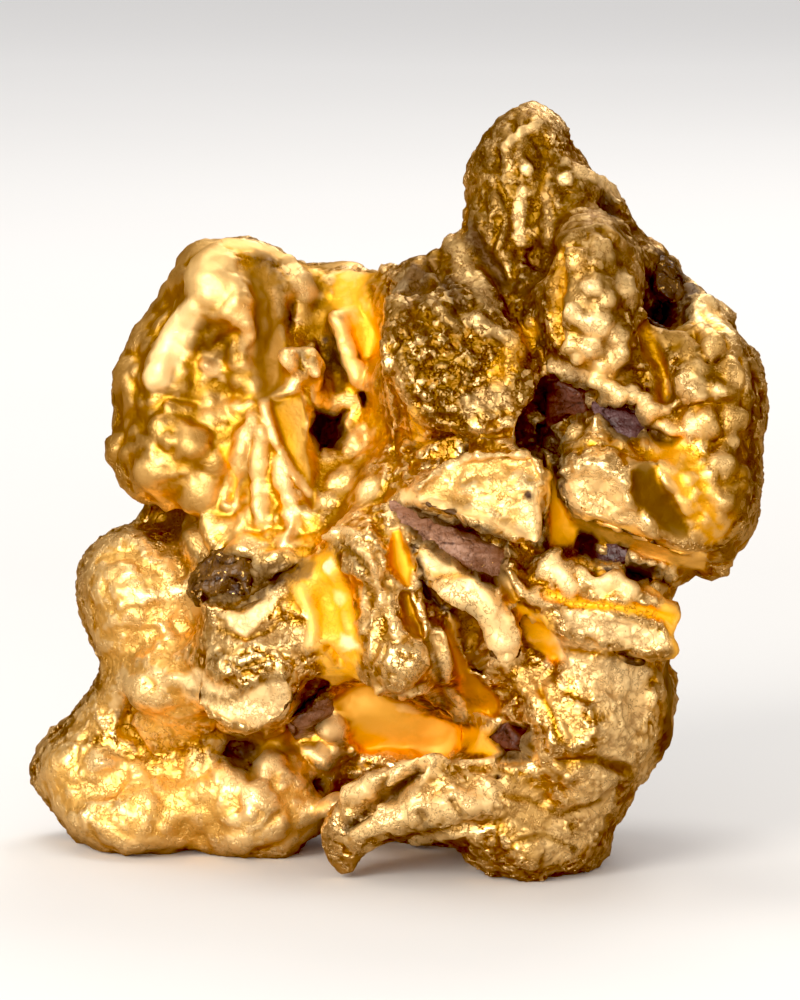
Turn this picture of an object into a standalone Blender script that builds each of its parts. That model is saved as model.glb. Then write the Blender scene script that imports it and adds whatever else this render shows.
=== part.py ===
"""A natural gold nugget with small stones caught in its folds. Metres, +Z up, front towards -Y.

The gold is one solid. It is swollen out of rounded lobes, folds and plates, hollowed by pits and
creases, roughened, lightened to a few thousand triangles, and cut flat where its feet touch the
ground. Each stone sits in a bed cut to its own shape, with a thin gap all round.
"""

import math
from dataclasses import dataclass

import bmesh
import bpy
from mathutils import Matrix, Vector, noise

# Every size below is in millimetres, and becomes metres as the meshes are made.
MM = 0.001

SKIN_VOXEL = 0.2
SKIN_SMOOTHING = 1
FILLET = 0.7
STRAND_STEP = 0.45
SOFT_RELIEF = (2.4, 0.24)
FINE_RELIEF = (0.8, 0.06)
GOLD_TRIANGLES = 8100
STONE_GAP = 0.1
STONE_FACETS = 34
GROUND_BLOCK = (40.0, 40.0, 6.0)
GOLDEN_ANGLE = math.pi * (3.0 - math.sqrt(5.0))

GOLD_COLOUR = (0.93, 0.62, 0.20)
GOLD_ROUGHNESS = 0.32


@dataclass(frozen=True)
class Lobe:
    """A rounded mass: centre, half sizes along X, Y and Z, and a lean in degrees about the Y axis."""

    centre: tuple
    radii: tuple
    lean: float = 0.0


@dataclass(frozen=True)
class Plate:
    """A flat-faced slab: the corners of its front face, and how far it reaches back."""

    corners: tuple
    depth: float


@dataclass(frozen=True)
class Stone:
    """A stone caught in the gold: an angular pebble with its own colour."""

    centre: tuple
    radii: tuple
    lean: float
    colour: tuple
    roughness: float
    seed: int


CORE_LOBES = (
    Lobe((2.2, 0.3, 9.1), (4.6, 4.7, 4.6)),
    Lobe((2.2, 0.2, 14.4), (2.8, 3.4, 3.4)),
    Lobe((6.7, -0.6, 13.4), (2.7, 3.9, 2.6)),
    Lobe((1.7, 3.0, 11.1), (4.0, 3.4, 4.6)),
    Lobe((5.1, 3.2, 6.7), (3.4, 3.0, 3.4)),
    Lobe((-1.4, 3.2, 4.3), (3.6, 3.0, 2.9)),
    Lobe((-2.9, 3.4, 11.0), (3.4, 2.6, 3.1)),
    Lobe((2.0, 3.0, 1.7), (3.6, 2.6, 2.1)),
)
PEAK_LOBES = (
    Lobe((4.4, 1.0, 18.4), (2.5, 2.4, 1.9), -10.0),
    Lobe((3.7, 1.2, 20.2), (1.7, 1.9, 2.0)),
    Lobe((4.2, 1.3, 21.9), (1.0, 1.5, 0.9)),
    Lobe((6.0, 0.8, 19.2), (1.1, 1.5, 1.1)),
    Lobe((1.3, 1.0, 16.9), (1.9, 2.0, 1.6)),
)
RIGHT_LOBES = (
    Lobe((5.7, -1.0, 16.8), (1.9, 3.5, 3.2)),
    Lobe((7.4, 1.2, 16.3), (1.6, 2.6, 2.3)),
    Lobe((9.2, -0.4, 16.3), (0.9, 1.3, 0.9)),
    Lobe((8.9, -1.3, 14.3), (2.0, 3.4, 2.6)),
    Lobe((9.1, -1.8, 11.8), (1.75, 3.3, 2.4)),
    Lobe((7.2, -0.8, 9.9), (1.6, 3.2, 1.1)),
    Lobe((9.6, -1.5, 9.7), (0.7, 1.4, 0.9)),
)
LOWER_RIGHT_LOBES = (
    Lobe((5.2, 0.0, 4.9), (3.1, 4.6, 3.5)),
    Lobe((5.4, 0.5, 2.6), (1.8, 4.0, 2.1)),
    Lobe((5.8, -1.8, 7.9), (2.4, 2.9, 1.1)),
    Lobe((4.0, -1.1, 1.2), (2.5, 3.6, 1.6)),
    Lobe((7.2, 0.4, 5.4), (1.15, 3.4, 2.5)),
    Lobe((1.3, -2.6, 2.3), (3.2, 2.2, 0.9), -14.0),
)
MIDDLE_LOBES = (
    Lobe((-0.7, -2.6, 9.3), (1.3, 2.4, 1.8)),
    Lobe((0.1, -3.6, 6.9), (1.1, 1.7, 1.5)),
    Lobe((-2.0, -1.3, 7.8), (1.7, 2.6, 2.1)),
    Lobe((-4.0, -1.2, 6.3), (2.1, 2.4, 2.1)),
    Lobe((-4.7, -1.0, 8.4), (1.3, 1.9, 1.2)),
)
LEFT_LOWER_LOBES = (
    Lobe((-7.8, 3.0, 7.6), (1.95, 2.8, 2.2)),
    Lobe((-6.3, 2.0, 5.0), (2.7, 2.7, 2.1)),
    Lobe((-8.3, 2.6, 3.5), (1.6, 2.2, 1.5)),
    Lobe((-9.6, 3.0, 2.1), (1.7, 2.3, 1.5)),
    Lobe((-7.7, 2.4, 1.3), (3.0, 3.0, 1.8)),
    Lobe((-4.4, 1.6, 1.6), (2.5, 2.8, 1.9)),
)
LEFT_UPPER_LOBES = (
    Lobe((-4.9, 2.4, 16.7), (2.1, 2.4, 2.0)),
    Lobe((-6.3, 3.0, 14.2), (2.3, 2.6, 2.6)),
    Lobe((-6.2, 2.5, 12.1), (2.6, 2.7, 2.0)),
    Lobe((-5.6, 2.0, 10.0), (1.3, 2.2, 1.2)),
    Lobe((-3.5, 1.6, 12.6), (2.0, 2.4, 2.6)),
    Lobe((-1.5, 3.2, 15.7), (2.4, 2.1, 2.2)),
    Lobe((-2.9, 1.0, 10.4), (2.0, 2.6, 1.5)),
)
LOBES = (
    CORE_LOBES
    + PEAK_LOBES
    + RIGHT_LOBES
    + LOWER_RIGHT_LOBES
    + MIDDLE_LOBES
    + LEFT_LOWER_LOBES
    + LEFT_UPPER_LOBES
)

# A fold is a run of (x, y, z, half thickness), followed from end to end.
FOLDS = (
    # the tongue across the middle, with its rounded knob
    ((0.3, -4.2, 10.5, 0.35), (1.3, -4.6, 9.9, 0.6), (2.5, -4.8, 9.1, 0.65), (3.2, -5.0, 7.3, 0.65)),
    # the curled rim, and the blobs and the crumpled band of the ledge on the right
    ((3.0, -4.4, 9.8, 0.4), (3.6, -4.6, 8.9, 0.45), (4.6, -4.5, 8.5, 0.5)),
    ((4.6, -4.3, 9.5, 0.5), (6.0, -4.6, 9.0, 0.55), (7.2, -4.5, 8.6, 0.5), (8.0, -4.1, 8.2, 0.4)),
    ((4.8, -4.5, 8.2, 0.6), (6.3, -4.7, 7.7, 0.7), (7.6, -4.3, 7.2, 0.6)),
    # the two bands of the lower rim, and the spike that hangs from it
    ((-1.5, -3.2, 2.6, 0.5), (-0.3, -3.8, 3.3, 0.55), (1.0, -4.1, 3.6, 0.5), (4.2, -3.6, 3.4, 0.4)),
    ((-1.4, -3.1, 1.4, 0.6), (0.1, -3.8, 2.0, 0.7), (1.6, -4.2, 2.5, 0.7), (3.2, -4.0, 2.6, 0.6), (4.6, -3.2, 2.4, 0.5)),
    ((-1.5, -2.9, 1.4, 0.7), (-1.3, -2.6, 0.3, 0.42)),
    # the crest of the middle ridge
    ((-2.0, -3.0, 10.4, 0.4), (-0.9, -3.7, 10.1, 0.5), (-0.1, -4.3, 9.4, 0.5), (0.4, -4.5, 7.7, 0.5)),
    # the finger and the bosses in the left recess
    ((-1.7, 0.9, 16.3, 0.4), (-1.2, 0.7, 14.6, 0.45)),
    ((-3.1, 0.0, 15.2, 0.45), (-2.6, 0.1, 15.5, 0.35), (-2.3, 0.0, 14.8, 0.45)),
)

PLATES = (
    # the rough block at the head of the middle, and the face of the peak
    Plate(
        (
            (-0.2, -2.6, 17.5),
            (1.7, -2.8, 18.0),
            (3.2, -3.6, 16.7),
            (4.3, -4.3, 15.0),
            (3.6, -4.5, 13.4),
            (2.1, -4.2, 13.3),
            (0.3, -3.6, 13.8),
            (-0.3, -3.0, 15.3),
        ),
        3.5,
    ),
    Plate(
        (
            (3.4, -0.1, 21.9),
            (4.9, -0.1, 21.9),
            (5.8, -0.6, 20.5),
            (6.8, -0.4, 19.6),
            (6.4, -1.9, 18.4),
            (4.2, -1.3, 18.0),
            (2.1, -0.9, 18.3),
            (2.2, -0.3, 20.0),
        ),
        2.2,
    ),
    # the pale triangular plate over the crevice
    Plate(
        (
            (0.4, -4.9, 11.9),
            (2.2, -5.2, 13.0),
            (4.0, -5.6, 13.1),
            (4.3, -5.9, 12.2),
            (4.4, -6.1, 11.0),
            (4.2, -6.0, 10.5),
            (2.5, -5.6, 11.2),
            (0.7, -5.1, 11.5),
        ),
        1.6,
    ),
    # the faceted block on the right
    Plate(
        (
            (4.8, -5.5, 12.5),
            (5.3, -5.4, 12.9),
            (7.1, -5.3, 13.0),
            (8.9, -4.8, 12.5),
            (9.0, -4.6, 10.3),
            (8.6, -4.4, 9.9),
            (7.1, -5.4, 10.4),
            (5.1, -6.0, 11.3),
        ),
        3.0,
    ),
    # the broad plate of the left ridge
    Plate(
        (
            (-5.9, -2.6, 5.6),
            (-5.0, -3.2, 6.5),
            (-3.2, -3.9, 6.7),
            (-3.0, -4.0, 5.9),
            (-3.4, -3.9, 5.0),
            (-4.6, -3.3, 4.6),
            (-5.8, -2.8, 4.9),
        ),
        1.6,
    ),
    # the smooth blade in the left recess
    Plate(
        (
            (-3.9, -0.3, 13.9),
            (-3.6, -0.8, 12.8),
            (-2.3, -0.6, 10.9),
            (-2.7, 0.8, 14.2),
            (-2.5, 0.8, 12.0),
        ),
        1.4,
    ),
)

HOLLOWS = (
    # the smooth basin low in the middle, and its tail
    Lobe((-0.2, -4.6, 4.8), (1.9, 3.8, 1.15)),
    Lobe((2.8, -5.0, 4.6), (1.1, 1.6, 0.6)),
    # the dark pocket and the small hole beside the lower rim
    Lobe((-4.7, -2.2, 3.4), (1.0, 2.6, 1.0)),
    Lobe((-2.3, -2.6, 2.7), (0.3, 1.6, 0.35)),
    # the left recess, the shallow hollow beside it, and the one behind the peak
    Lobe((-2.0, -0.8, 13.0), (0.6, 2.6, 0.85)),
    Lobe((-5.5, -0.9, 15.8), (0.65, 0.9, 0.7)),
    Lobe((0.5, -2.2, 17.7), (0.8, 1.2, 0.6)),
    # the scoop under the peak and the small hollow in its shoulder
    Lobe((4.1, -2.4, 18.4), (0.9, 1.5, 0.8)),
    Lobe((6.2, -1.3, 20.0), (0.5, 1.2, 0.35)),
    # the notch high on the right
    Lobe((8.1, -2.6, 17.3), (0.75, 2.6, 0.9)),
    # the hollows of the middle: under the tongue, in the wall, and at the foot of the ledge
    Lobe((2.1, -5.3, 7.7), (0.45, 1.2, 0.8)),
    Lobe((-2.1, -4.3, 8.5), (1.05, 1.3, 1.2)),
    Lobe((4.1, -5.4, 8.0), (0.45, 0.9, 0.4)),
    Lobe((5.2, -4.6, 1.9), (0.4, 0.7, 0.3)),
    # the arches between the spike and the right foot, and the notches between the left lobes
    Lobe((0.1, -3.2, 0.1), (0.8, 2.4, 0.75)),
    Lobe((1.3, -3.0, 0.1), (1.0, 2.8, 0.75)),
    Lobe((-8.0, 0.8, 10.3), (1.1, 2.0, 0.3)),
    Lobe((-8.1, 0.3, 4.3), (0.3, 1.0, 0.5)),
    # hollows of the back
    Lobe((-1.5, 6.8, 7.8), (1.8, 1.4, 1.2)),
    Lobe((4.4, 6.7, 12.6), (1.5, 1.6, 1.6)),
    Lobe((1.4, 6.6, 3.6), (1.2, 1.2, 0.8)),
)

CREASES = (
    # the slot of the right lobe, the crack that falls from it, and the smooth channel below
    ((4.4, -4.6, 14.8, 0.5), (5.4, -4.8, 14.5, 0.7), (6.7, -4.9, 14.0, 0.6), (8.3, -4.6, 13.5, 0.3)),
    ((4.3, -4.4, 14.6, 0.35), (4.5, -4.9, 13.2, 0.35), (4.7, -5.2, 12.3, 0.3)),
    ((4.4, -5.2, 13.0, 0.3), (4.7, -5.6, 11.5, 0.4), (4.8, -5.4, 10.6, 0.6)),
    # the gap under the faceted block, and the notch before its hook
    ((5.4, -5.0, 10.1, 0.35), (6.6, -4.9, 9.8, 0.4), (8.1, -4.2, 9.2, 0.4), (9.0, -3.4, 8.9, 0.5)),
    # the crevice under the pale plate
    ((0.2, -4.8, 11.2, 0.35), (1.3, -5.1, 10.7, 0.55), (2.8, -5.4, 10.1, 0.65)),
    # the channel beside the tongue, and the leaf-shaped one on the crest
    ((1.6, -4.9, 8.2, 0.45), (1.9, -4.9, 6.6, 0.5), (2.5, -4.7, 5.6, 0.5)),
    ((0.2, -4.8, 9.9, 0.35), (0.6, -4.9, 8.4, 0.35)),
    # between the bands of the lower rim, and between those of the ledge
    ((-1.6, -3.9, 1.9, 0.28), (-0.3, -4.5, 2.7, 0.28), (0.9, -4.8, 3.2, 0.28), (2.8, -4.6, 3.1, 0.2)),
    ((4.4, -5.1, 8.9, 0.35), (6.3, -5.3, 8.4, 0.3), (8.1, -4.7, 7.8, 0.35)),
    # up the right column, and down the left recess
    ((7.3, -4.4, 16.5, 0.35), (7.6, -4.8, 15.7, 0.35), (7.8, -5.0, 14.7, 0.3)),
    ((-3.9, -0.3, 17.3, 0.35), (-3.7, -0.8, 15.8, 0.4), (-3.5, -1.0, 14.5, 0.35)),
    # between the two left lobes, and across the back
    ((-9.5, 3.0, 10.2, 0.5), (-8.0, 2.4, 10.1, 0.5), (-6.6, 0.8, 9.6, 0.5)),
    ((-6.5, 6.2, 9.6, 0.5), (-3.0, 6.6, 8.0, 0.5), (1.0, 7.0, 7.6, 0.5), (4.0, 6.8, 9.4, 0.4)),
)

STONES = {
    "quartz_slab": Stone((1.6, -4.5, 10.5), (1.9, 0.9, 0.55), 22.0, (0.42, 0.25, 0.20), 0.5, 1),
    "crevice_stone_left": Stone((5.3, -3.7, 14.6), (0.75, 0.9, 0.7), 10.0, (0.33, 0.11, 0.06), 0.6, 2),
    "crevice_stone_right": Stone((6.7, -3.9, 14.0), (0.85, 0.9, 0.55), 14.0, (0.27, 0.15, 0.18), 0.45, 3),
    "notch_stone": Stone((7.9, -1.5, 17.0), (0.8, 1.4, 1.1), 20.0, (0.09, 0.05, 0.03), 0.6, 4),
    "basin_stone": Stone((-2.4, -2.8, 5.2), (0.8, 1.0, 0.9), -20.0, (0.52, 0.33, 0.36), 0.4, 5),
    "pocket_stone": Stone((3.4, -4.0, 4.6), (0.6, 0.9, 0.6), 0.0, (0.22, 0.07, 0.03), 0.5, 6),
    "ledge_stone": Stone((6.3, -4.2, 9.9), (0.75, 0.7, 0.38), 16.0, (0.30, 0.22, 0.26), 0.5, 7),
    "ridge_ironstone": Stone((-4.8, -2.3, 8.9), (1.35, 1.4, 1.0), -8.0, (0.13, 0.07, 0.03), 0.55, 8),
}


def clear_scene():
    """Removes every object that the file opened with."""
    for obj in list(bpy.data.objects):
        bpy.data.objects.remove(obj, do_unlink=True)


def metres(point):
    return Vector(point[:3]) * MM


def material(name, colour, roughness, metallic):
    made = bpy.data.materials.new(name)
    made.use_nodes = True
    shader = made.node_tree.nodes["Principled BSDF"]
    shader.inputs["Base Color"].default_value = (*colour, 1.0)
    shader.inputs["Roughness"].default_value = roughness
    shader.inputs["Metallic"].default_value = metallic
    return made


def object_of(name, bm):
    """Turns a bmesh into a linked object and frees the bmesh."""
    mesh = bpy.data.meshes.new(name)
    bm.to_mesh(mesh)
    bm.free()
    obj = bpy.data.objects.new(name, mesh)
    bpy.context.scene.collection.objects.link(obj)
    return obj


def bake(obj):
    """Replaces the object's mesh with what its modifiers make of it."""
    bpy.context.view_layer.update()
    evaluated = obj.evaluated_get(bpy.context.evaluated_depsgraph_get())
    baked = bpy.data.meshes.new_from_object(evaluated)
    obj.modifiers.clear()
    obj.data = baked


def add_lobe(bm, lobe):
    place = Matrix.Translation(metres(lobe.centre))
    turn = Matrix.Rotation(math.radians(lobe.lean), 4, "Y")
    size = Matrix.Diagonal((*metres(lobe.radii), 1.0))
    bmesh.ops.create_icosphere(bm, subdivisions=3, radius=1.0, matrix=place @ turn @ size)


def add_strand(bm, points):
    """Adds a run of balls, close enough together to read as one tapering tube."""
    for start, end in zip(points, points[1:]):
        a, b = metres(start), metres(end)
        thinnest = min(start[3], end[3]) * MM
        steps = max(1, math.ceil((b - a).length / (thinnest * STRAND_STEP)))
        for i in range(steps + 1):
            share = i / steps
            radius = (start[3] + (end[3] - start[3]) * share) * MM
            place = Matrix.Translation(a.lerp(b, share))
            bmesh.ops.create_icosphere(bm, subdivisions=2, radius=radius, matrix=place)


def add_plate(bm, plate):
    """Adds the convex slab between the plate's corners and the same corners further back."""
    slab = bmesh.new()
    for x, y, z in plate.corners:
        slab.verts.new(metres((x, y, z)))
        slab.verts.new(metres((x, y + plate.depth, z)))
    hull = bmesh.ops.convex_hull(slab, input=slab.verts)
    bmesh.ops.delete(slab, geom=hull["geom_interior"], context="VERTS")
    mesh = bpy.data.meshes.new("slab")
    slab.to_mesh(mesh)
    slab.free()
    bm.from_mesh(mesh)
    bpy.data.meshes.remove(mesh)


def remesh(obj, smoothing):
    """Wraps the object's overlapping shapes in one even skin, a little softened."""
    skin = obj.modifiers.new("skin", "REMESH")
    skin.mode = "VOXEL"
    skin.voxel_size = SKIN_VOXEL * MM
    soften = obj.modifiers.new("soften", "SMOOTH")
    soften.factor = 0.5
    soften.iterations = smoothing
    bake(obj)


def keep_largest_island(obj):
    """Drops inner skins and loose crumbs, so that one closed body is left."""
    bm = bmesh.new()
    bm.from_mesh(obj.data)
    unseen = set(bm.verts)
    islands = []
    while unseen:
        edge_of_walk = [unseen.pop()]
        island = list(edge_of_walk)
        while edge_of_walk:
            vertex = edge_of_walk.pop()
            fresh = [e.other_vert(vertex) for e in vertex.link_edges]
            fresh = [v for v in fresh if v in unseen]
            unseen.difference_update(fresh)
            edge_of_walk.extend(fresh)
            island.extend(fresh)
        islands.append(island)
    islands.sort(key=len)
    for island in islands[:-1]:
        bmesh.ops.delete(bm, geom=island, context="VERTS")
    bm.to_mesh(obj.data)
    bm.free()


def swell(obj, distance):
    """Moves the skin outwards by a distance in millimetres, or inwards if it is negative."""
    grow = obj.modifiers.new("swell", "DISPLACE")
    grow.strength = distance * MM
    grow.mid_level = 0.0
    bake(obj)


def fused_lobes():
    """The lobes in one skin, with the valleys between them filled to a soft fillet."""
    bm = bmesh.new()
    for lobe in LOBES:
        add_lobe(bm, lobe)
    lobes = object_of("lobes", bm)
    remesh(lobes, 1)
    swell(lobes, FILLET)
    remesh(lobes, 1)
    swell(lobes, -FILLET)
    keep_largest_island(lobes)
    return lobes


def swollen_mass():
    """The gold before it is hollowed: fused lobes, folds and plates in one skin."""
    lobes = fused_lobes()
    bm = bmesh.new()
    bm.from_mesh(lobes.data)
    bpy.data.objects.remove(lobes, do_unlink=True)
    for fold in FOLDS:
        add_strand(bm, fold)
    for plate in PLATES:
        add_plate(bm, plate)
    mass = object_of("gold_nugget", bm)
    remesh(mass, 0)
    keep_largest_island(mass)
    return mass


def cutter_of(name, bm):
    cutter = object_of(name, bm)
    cutter.hide_render = True
    cutter.display_type = "WIRE"
    return cutter


def subtract(obj, cutter):
    cut = obj.modifiers.new(f"cut {cutter.name}", "BOOLEAN")
    cut.operation = "DIFFERENCE"
    cut.solver = "EXACT"
    cut.object = cutter
    return cut


def hollow_out(mass):
    """Takes the pits and creases out of the mass, and softens their edges."""
    bm = bmesh.new()
    for hollow in HOLLOWS:
        add_lobe(bm, hollow)
    for crease in CREASES:
        add_strand(bm, crease)
    hollows = cutter_of("hollows", bm)
    remesh(hollows, 0)
    subtract(mass, hollows)
    bake(mass)
    bpy.data.objects.remove(hollows, do_unlink=True)
    remesh(mass, SKIN_SMOOTHING)
    keep_largest_island(mass)


def roughen(mass):
    """Moves the skin in and out with two sizes of lumpy relief."""
    mesh = mass.data
    normals = [vertex.normal.copy() for vertex in mesh.vertices]
    for vertex, normal in zip(mesh.vertices, normals):
        moved = 0.0
        for size, height in (SOFT_RELIEF, FINE_RELIEF):
            lumps = noise.fractal(vertex.co / (size * MM), 1.0, 2.0, 3)
            moved += lumps * height * MM
        vertex.co += normal * moved


def lighten(mass):
    """Brings the skin down to its triangle budget."""
    mass.data.calc_loop_triangles()
    thin = mass.modifiers.new("lighten", "DECIMATE")
    thin.ratio = GOLD_TRIANGLES / len(mass.data.loop_triangles)
    thin.use_collapse_triangulate = True
    bake(mass)
    keep_largest_island(mass)


def stone_mesh(stone, growth):
    """An angular pebble: the hull of points spread over its ellipsoid, each pushed in a little."""
    bm = bmesh.new()
    turn = Matrix.Rotation(math.radians(stone.lean), 3, "Y")
    radii = Vector(stone.radii)
    for i in range(STONE_FACETS):
        height = 1.0 - 2.0 * (i + 0.5) / STONE_FACETS
        ring = math.sqrt(1.0 - height * height)
        angle = i * GOLDEN_ANGLE + stone.seed
        outward = Vector((math.cos(angle) * ring, math.sin(angle) * ring, height))
        pushed = 0.88 + 0.22 * noise.noise(outward * 1.7 + Vector((stone.seed * 3.1, 0.0, 0.0)))
        on_skin = Vector(o * r * pushed for o, r in zip(outward, radii))
        facing = Vector(o / r for o, r in zip(outward, radii)).normalized()
        point = turn @ (on_skin + facing * growth) + Vector(stone.centre)
        bm.verts.new(point * MM)
    hull = bmesh.ops.convex_hull(bm, input=bm.verts)
    bmesh.ops.delete(bm, geom=hull["geom_interior"], context="VERTS")
    return bm


def bed_stones(gold):
    """Cuts a bed for every stone, so that each one lies in the gold with a thin gap."""
    for name, stone in STONES.items():
        bed = cutter_of(f"bed_of_{name}", stone_mesh(stone, STONE_GAP))
        subtract(gold, bed)
    bake(gold)
    for name in STONES:
        bpy.data.objects.remove(bpy.data.objects[f"bed_of_{name}"], do_unlink=True)
    keep_largest_island(gold)


def stand_on_ground(gold):
    """Cuts the feet flat in the plane z = 0."""
    width, length, height = metres(GROUND_BLOCK)
    bm = bmesh.new()
    place = Matrix.Translation((0.0, 0.0, -height / 2.0))
    bmesh.ops.create_cube(bm, size=1.0, matrix=place @ Matrix.Diagonal((width, length, height, 1.0)))
    ground = cutter_of("ground", bm)
    subtract(gold, ground)
    bake(gold)
    bpy.data.objects.remove(ground, do_unlink=True)
    keep_largest_island(gold)


def make_gold():
    gold = swollen_mass()
    hollow_out(gold)
    roughen(gold)
    lighten(gold)
    bed_stones(gold)
    stand_on_ground(gold)
    gold.data.materials.clear()
    gold.data.materials.append(material("gold", GOLD_COLOUR, GOLD_ROUGHNESS, 1.0))
    return gold


def make_stones():
    for name, stone in STONES.items():
        made = object_of(name, stone_mesh(stone, 0.0))
        made.data.materials.append(material(name, stone.colour, stone.roughness, 0.0))


def main():
    clear_scene()
    make_gold()
    make_stones()


main()
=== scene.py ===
import logging
import math
from collections.abc import Iterable, Iterator
from dataclasses import dataclass, field
from enum import Enum
from typing import Any

import bmesh
import bpy
import numpy as np
from mathutils import Matrix, Vector, noise
from mathutils.bvhtree import BVHTree


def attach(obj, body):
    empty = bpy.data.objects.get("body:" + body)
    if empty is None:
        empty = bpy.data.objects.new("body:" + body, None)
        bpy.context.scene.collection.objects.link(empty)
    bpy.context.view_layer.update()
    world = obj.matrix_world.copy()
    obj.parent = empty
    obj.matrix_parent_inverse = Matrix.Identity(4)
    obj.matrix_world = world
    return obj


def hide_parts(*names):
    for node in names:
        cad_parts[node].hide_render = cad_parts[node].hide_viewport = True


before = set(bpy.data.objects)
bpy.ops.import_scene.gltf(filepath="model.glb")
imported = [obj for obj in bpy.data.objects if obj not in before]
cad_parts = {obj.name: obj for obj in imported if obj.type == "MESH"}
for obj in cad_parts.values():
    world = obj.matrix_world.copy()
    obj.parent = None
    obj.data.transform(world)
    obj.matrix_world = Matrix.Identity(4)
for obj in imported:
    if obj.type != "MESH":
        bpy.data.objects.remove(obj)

Array = np.ndarray
Point2 = tuple[float, float]
Point3 = tuple[float, float, float]
Place = tuple[int, int]
Colour = tuple[float, float, float]
Node = bpy.types.Node
Socket = bpy.types.NodeSocket

MM = 0.001
GRID = 20
TINY = 1e-12
# Warps take their offsets from the clock unless they are given a seed.
WARP_SEED = 7
BODY = "root"
LOG = logging.getLogger("nugget")


class Paint(Enum):
    """What a stroke leaves on the gold besides its height: a tone or a kind of relief."""

    # Pale: the gold's own pale worn tone, and painted highlight on bosses, knobs and chips.
    PALE = "pale"
    # Orange: a warm tone in channels and basins, largely painted glow of light bounced between gold faces.
    ORANGE = "orange"
    # Olive: painted shade on faces turned from the light, with some dark patina.
    OLIVE = "olive"
    # Brown: iron staining, and painted shade in pits, grooves, hollows and round the stones.
    BROWN = "brown"
    CRUMPLE = "crumple"
    HACKLY = "hackly"
    KNOBBLY = "knobbly"
    SMOOTH = "smooth"


PALE, ORANGE, OLIVE, BROWN, CRUMPLE, HACKLY, KNOBBLY, SMOOTH = Paint
TONES = (PALE, ORANGE, OLIVE, BROWN)


@dataclass(frozen=True)
class Stroke:
    """One ridge, groove, knob, pit or patch of tone, laid on the gold.

    A path of one point makes a knob or a pit. A height of zero leaves only paint.
    """

    path: tuple[Point2, ...]
    width: float
    height: float
    paint: dict[Paint, float]


@dataclass(frozen=True)
class Facet:
    """A worn flat face, or a hollow sunk below the gold round it, given by its corners.

    The edge is how far in from its outline it reaches its full depth.
    """

    corners: tuple[Point2, ...]
    paint: dict[Paint, float]
    sink: float = 0.0
    edge: float = 0.16


@dataclass(frozen=True)
class Fold:
    """A field of folds that run along a path, so many millimetres apart."""

    path: tuple[Point2, ...]
    width: float
    spacing: float
    height: float


def by_kind(paint: dict[str, float]) -> dict[Paint, float]:
    """Returns amounts of paint by kind."""
    return {Paint(name): amount for name, amount in paint.items()}


def on_plane(places: Iterable[Place]) -> tuple[Point2, ...]:
    """Returns places of the grid as points of the plane."""
    return tuple((u / GRID, v / GRID) for u, v in places)


def draw(width: float, height: float, *path: Place, **paint: float) -> Stroke:
    """Lays out a ridge or a groove, or a knob or a pit where the path is one place.

    Args:
        width: How far it reaches from its path.
        height: How high it stands, or how deep it cuts where this is negative.
        *path: Its places on the grid in order.
        **paint: How much it leaves of each kind of paint, from 0 to 1.

    Returns:
        The stroke.
    """
    return Stroke(on_plane(path), width, height, by_kind(paint))


def tint(width: float, *path: Place, **paint: float) -> Stroke:
    """Returns a stroke that leaves only paint."""
    return draw(width, 0.0, *path, **paint)


def flat(*corners: Place, sink: float = 0.0, edge: float = 0.16, **paint: float) -> Facet:
    """Lays out a worn face, or a hollow where it sinks.

    Args:
        *corners: The places of its corners in order.
        sink: How far it sinks below the gold round it.
        edge: How far in from its outline it reaches its full depth.
        **paint: How much it leaves of each kind of paint, from 0 to 1.

    Returns:
        The facet.
    """
    return Facet(on_plane(corners), by_kind(paint), sink, edge)


def crimp(width: float, spacing: float, height: float, *path: Place) -> Fold:
    """Returns a field of folds along a path."""
    return Fold(on_plane(path), width, spacing, height)


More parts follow.
